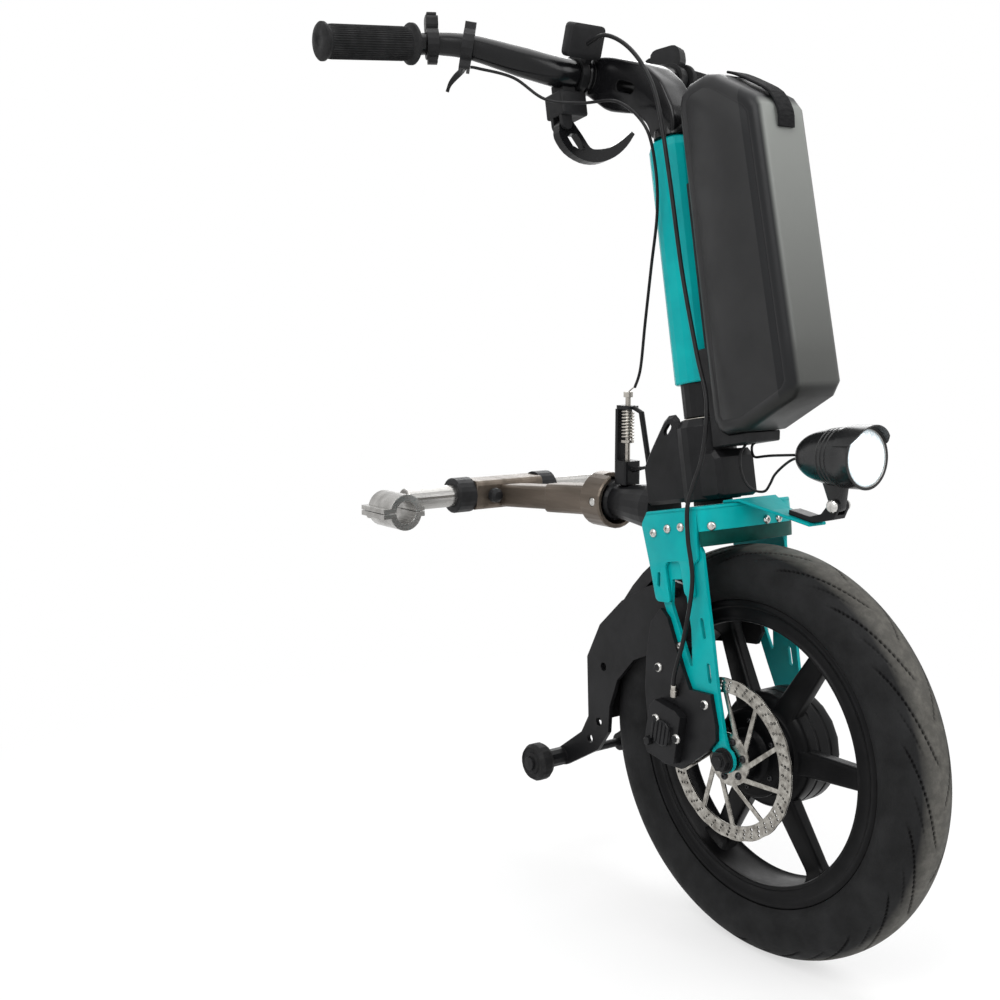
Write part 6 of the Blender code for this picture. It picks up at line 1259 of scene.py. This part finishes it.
pieceFrom("lampShell", joinedInto(weld(buildLampShell()), buildLug()), "lampEnamel", "lamp", ["headlight_body"], 40.0)
r, long = lampSpec["radius"], lampSpec["length"]
shape = lathe(bmesh.new(), [(r - 0.0023, long - 0.0030), (r - 0.0030, long - 0.0016), (r - 0.0026, long - 0.0006),
                            (r - 0.0019, long - 0.0004), (r - 0.0019, long - 0.0030)],
              lampShell["around"], "X", lampFrame, True)
pieceFrom("lampBezel", shape, "brightAlloy", "lamp", (), 50.0)
print("lamp shell ready")

# display: black glass and rubber keys on a rounded case; widths run across the bar

displaySpec = dict(centre=(-0.0680, -0.0410, 0.4980), tilt=27.0, thick=0.0130, grow=0.0006, case=(0.0446, 0.0346),
                   caseCorner=(0.0054, 8), caseRim=0.0016, glass=(0.0335, 0.0215), glassCorner=(0.0018, 5),
                   glassThick=0.0008, glassRim=0.0002, glassAt=(0.0002, 0.0030), keys=(-0.012, 0.0, 0.012),
                   keyAt=(0.0002, -0.0125), keySize=0.0026)
spec = displaySpec
displayFrame = steerFrame @ shifted(*spec["centre"]) @ turned(spec["tilt"], "Y")
upright = turned(90, "Y") @ turned(90, "Z")
shape = sheetMetal("displayCase", roundedRing(*spec["case"], *spec["caseCorner"]), [], spec["thick"] + spec["grow"],
                   spec["caseRim"], displayFrame @ shifted(-spec["thick"] / 2, 0, 0) @ upright)
pieceFrom("displayCase", shape, "blackPlastic", "steered", (), 40.0)
out, up = spec["glassAt"]
shape = sheetMetal("displayGlass", roundedRing(*spec["glass"], *spec["glassCorner"]), [], spec["glassThick"],
                   spec["glassRim"], displayFrame @ shifted(-spec["thick"] - out, 0, up) @ upright)
pieceFrom("displayGlass", shape, "screenGlass", "steered", (), 40.0)
sunk, up = spec["keyAt"]
keys = [(displayFrame @ Vector((sunk - spec["thick"], y, up)), displayFrame.to_3x3() @ Vector((-1, 0, 0)))
        for y in spec["keys"]]
fasteners("displayKeys", keys, buttonHead("keyTemplate", 0.5, 0.30), spec["keySize"], "softRubber", "steered")
print("display ready")

# brake caliper: cooling fins, hose fitting and crimp on the outer face

caliperSpec = dict(at=(0.0366, 0.0, -0.2472), turn=-160, fins=5, finAt=0.0620, pitch=0.0055, finWide=0.0024,
                   finTall=(0.0240, 0.0020), corner=(0.0010, 3), faces=(-0.0772, -0.0786),
                   fittingAt=(0.0885, 0.0, 0.0150),
                   fitting=((0.0, -0.0805), (0.0040, -0.0805), (0.0046, -0.0800), (0.0046, -0.0745), (0.0, -0.0745)))
crimpSpec = ((-0.0120, 0.0027), (-0.0118, 0.0031), (-0.0060, 0.0031), (-0.0058, 0.0036), (0.0010, 0.0036))
spec = caliperSpec
caliperFrame = steerFrame @ shifted(*spec["at"]) @ turned(spec["turn"], "Y")
tall, less = spec["finTall"]
shape = bmesh.new()
for k in range(spec["fins"]):
    ring = roundedRing(spec["finWide"], tall - less * abs(k - 2), *spec["corner"])
    skin(shape, [[(spec["finAt"] + spec["pitch"] * k + a, y, b) for a, b in ring] for y in spec["faces"]], True,
         caliperFrame)
lathe(shape, spec["fitting"], 6, "Y", caliperFrame @ shifted(*spec["fittingAt"]))
pieceFrom("caliperDetail", shape, "blackPaint", "steered", (), 30.0)
before, hoseEnd = [Vector(p) for p in cordSpec["brakeHose"]["points"][-2:]]
run = (hoseEnd - before).normalized()
shape = tube(bmesh.new(), [hoseEnd + run * at for at, size in crimpSpec], [size for at, size in crimpSpec], 18,
             steerFrame)
pieceFrom("hoseCrimp", shape, "brushedSteel", "steered", (), 40.0)
print("brake details ready")

# lamps: broad and even, a little stronger from the camera's left and from above

studioSpec = dict(
    keyLight=dict(place=(1.2, -2.2, 2.2), size=1.8, power=54),
    fillLight=dict(place=(2.6, 0.6, 1.4), size=1.6, power=28),
    topLight=dict(place=(0.2, 0.6, 2.6), size=2.4, power=38),
    backLight=dict(place=(-1.6, 1.6, 1.2), size=1.4, power=18))
lampsFace = Vector((0.35, 0.0, 0.0))
for name, spec in studioSpec.items():
    data = bpy.data.lights.new(name, "AREA")
    data.shape = "SQUARE"
    data.size = spec["size"]
    data.energy = spec["power"]
    lamp = bpy.data.objects.new(name, data)
    scene.collection.objects.link(lamp)
    lamp.location = spec["place"]
    lamp.rotation_euler = (lampsFace - lamp.location).to_track_quat("-Z", "Y").to_euler()

# world: white to the camera, grey light on the part

white = (1.0, 1.0, 1.0, 1.0)


def seenDirectly(tree):
    rays = put(tree, "LightPath").outputs
    seen = mathNode(tree, "MAXIMUM", rays["Is Camera Ray"], rays["Is Glossy Ray"])
    return mathNode(tree, "MAXIMUM", seen, rays["Is Transmission Ray"])


world = bpy.data.worlds.new("studio")
scene.world = world
world.use_nodes = True
tree = world.node_tree
tree.nodes.clear()
lit = put(tree, "Background", {"Color": white, "Strength": 0.50})
plain = put(tree, "Background", {"Color": white, "Strength": 1.0})
sky = put(tree, "MixShader", {0: seenDirectly(tree), 1: lit.outputs[0], 2: plain.outputs[0]})
put(tree, "OutputWorld", {"Surface": sky.outputs[0]})

# floor: a lit pale patch that keeps the shadow, fading into plain white

floorSpec = dict(half=9, centre=(0.38, 0.0, groundZ), pale=(0.93, 0.93, 0.93, 1.0), fade=(0.30, 1.10, 0.62, 1.0))
half = floorSpec["half"]
floorMesh = bpy.data.meshes.new("floor")
floorMesh.from_pydata([(x * half, y * half, groundZ) for x, y in ((-1, -1), (1, -1), (1, 1), (-1, 1))], [],
                      [(0, 1, 2, 3)])
floor = bpy.data.objects.new("floor", floorMesh)
scene.collection.objects.link(floor)
floorPaint = bpy.data.materials.new("floorPaint")
floorPaint.use_nodes = True
tree = floorPaint.node_tree
tree.nodes.clear()
spot = put(tree, "VectorMath", {0: put(tree, "TexCoord").outputs["Object"], 1: floorSpec["centre"]},
           operation="DISTANCE").outputs["Value"]
pale = put(tree, "BsdfDiffuse", {"Color": floorSpec["pale"]})
glow = put(tree, "Emission", {"Color": white, "Strength": 1.0})
share = mathNode(tree, "MULTIPLY", seenDirectly(tree), remap(tree, spot, *floorSpec["fade"]))
blend = put(tree, "MixShader", {0: share, 1: pale.outputs[0], 2: glow.outputs[0]})
put(tree, "OutputMaterial", {"Surface": blend.outputs[0]})
floorMesh.materials.append(floorPaint)
print("stage ready")
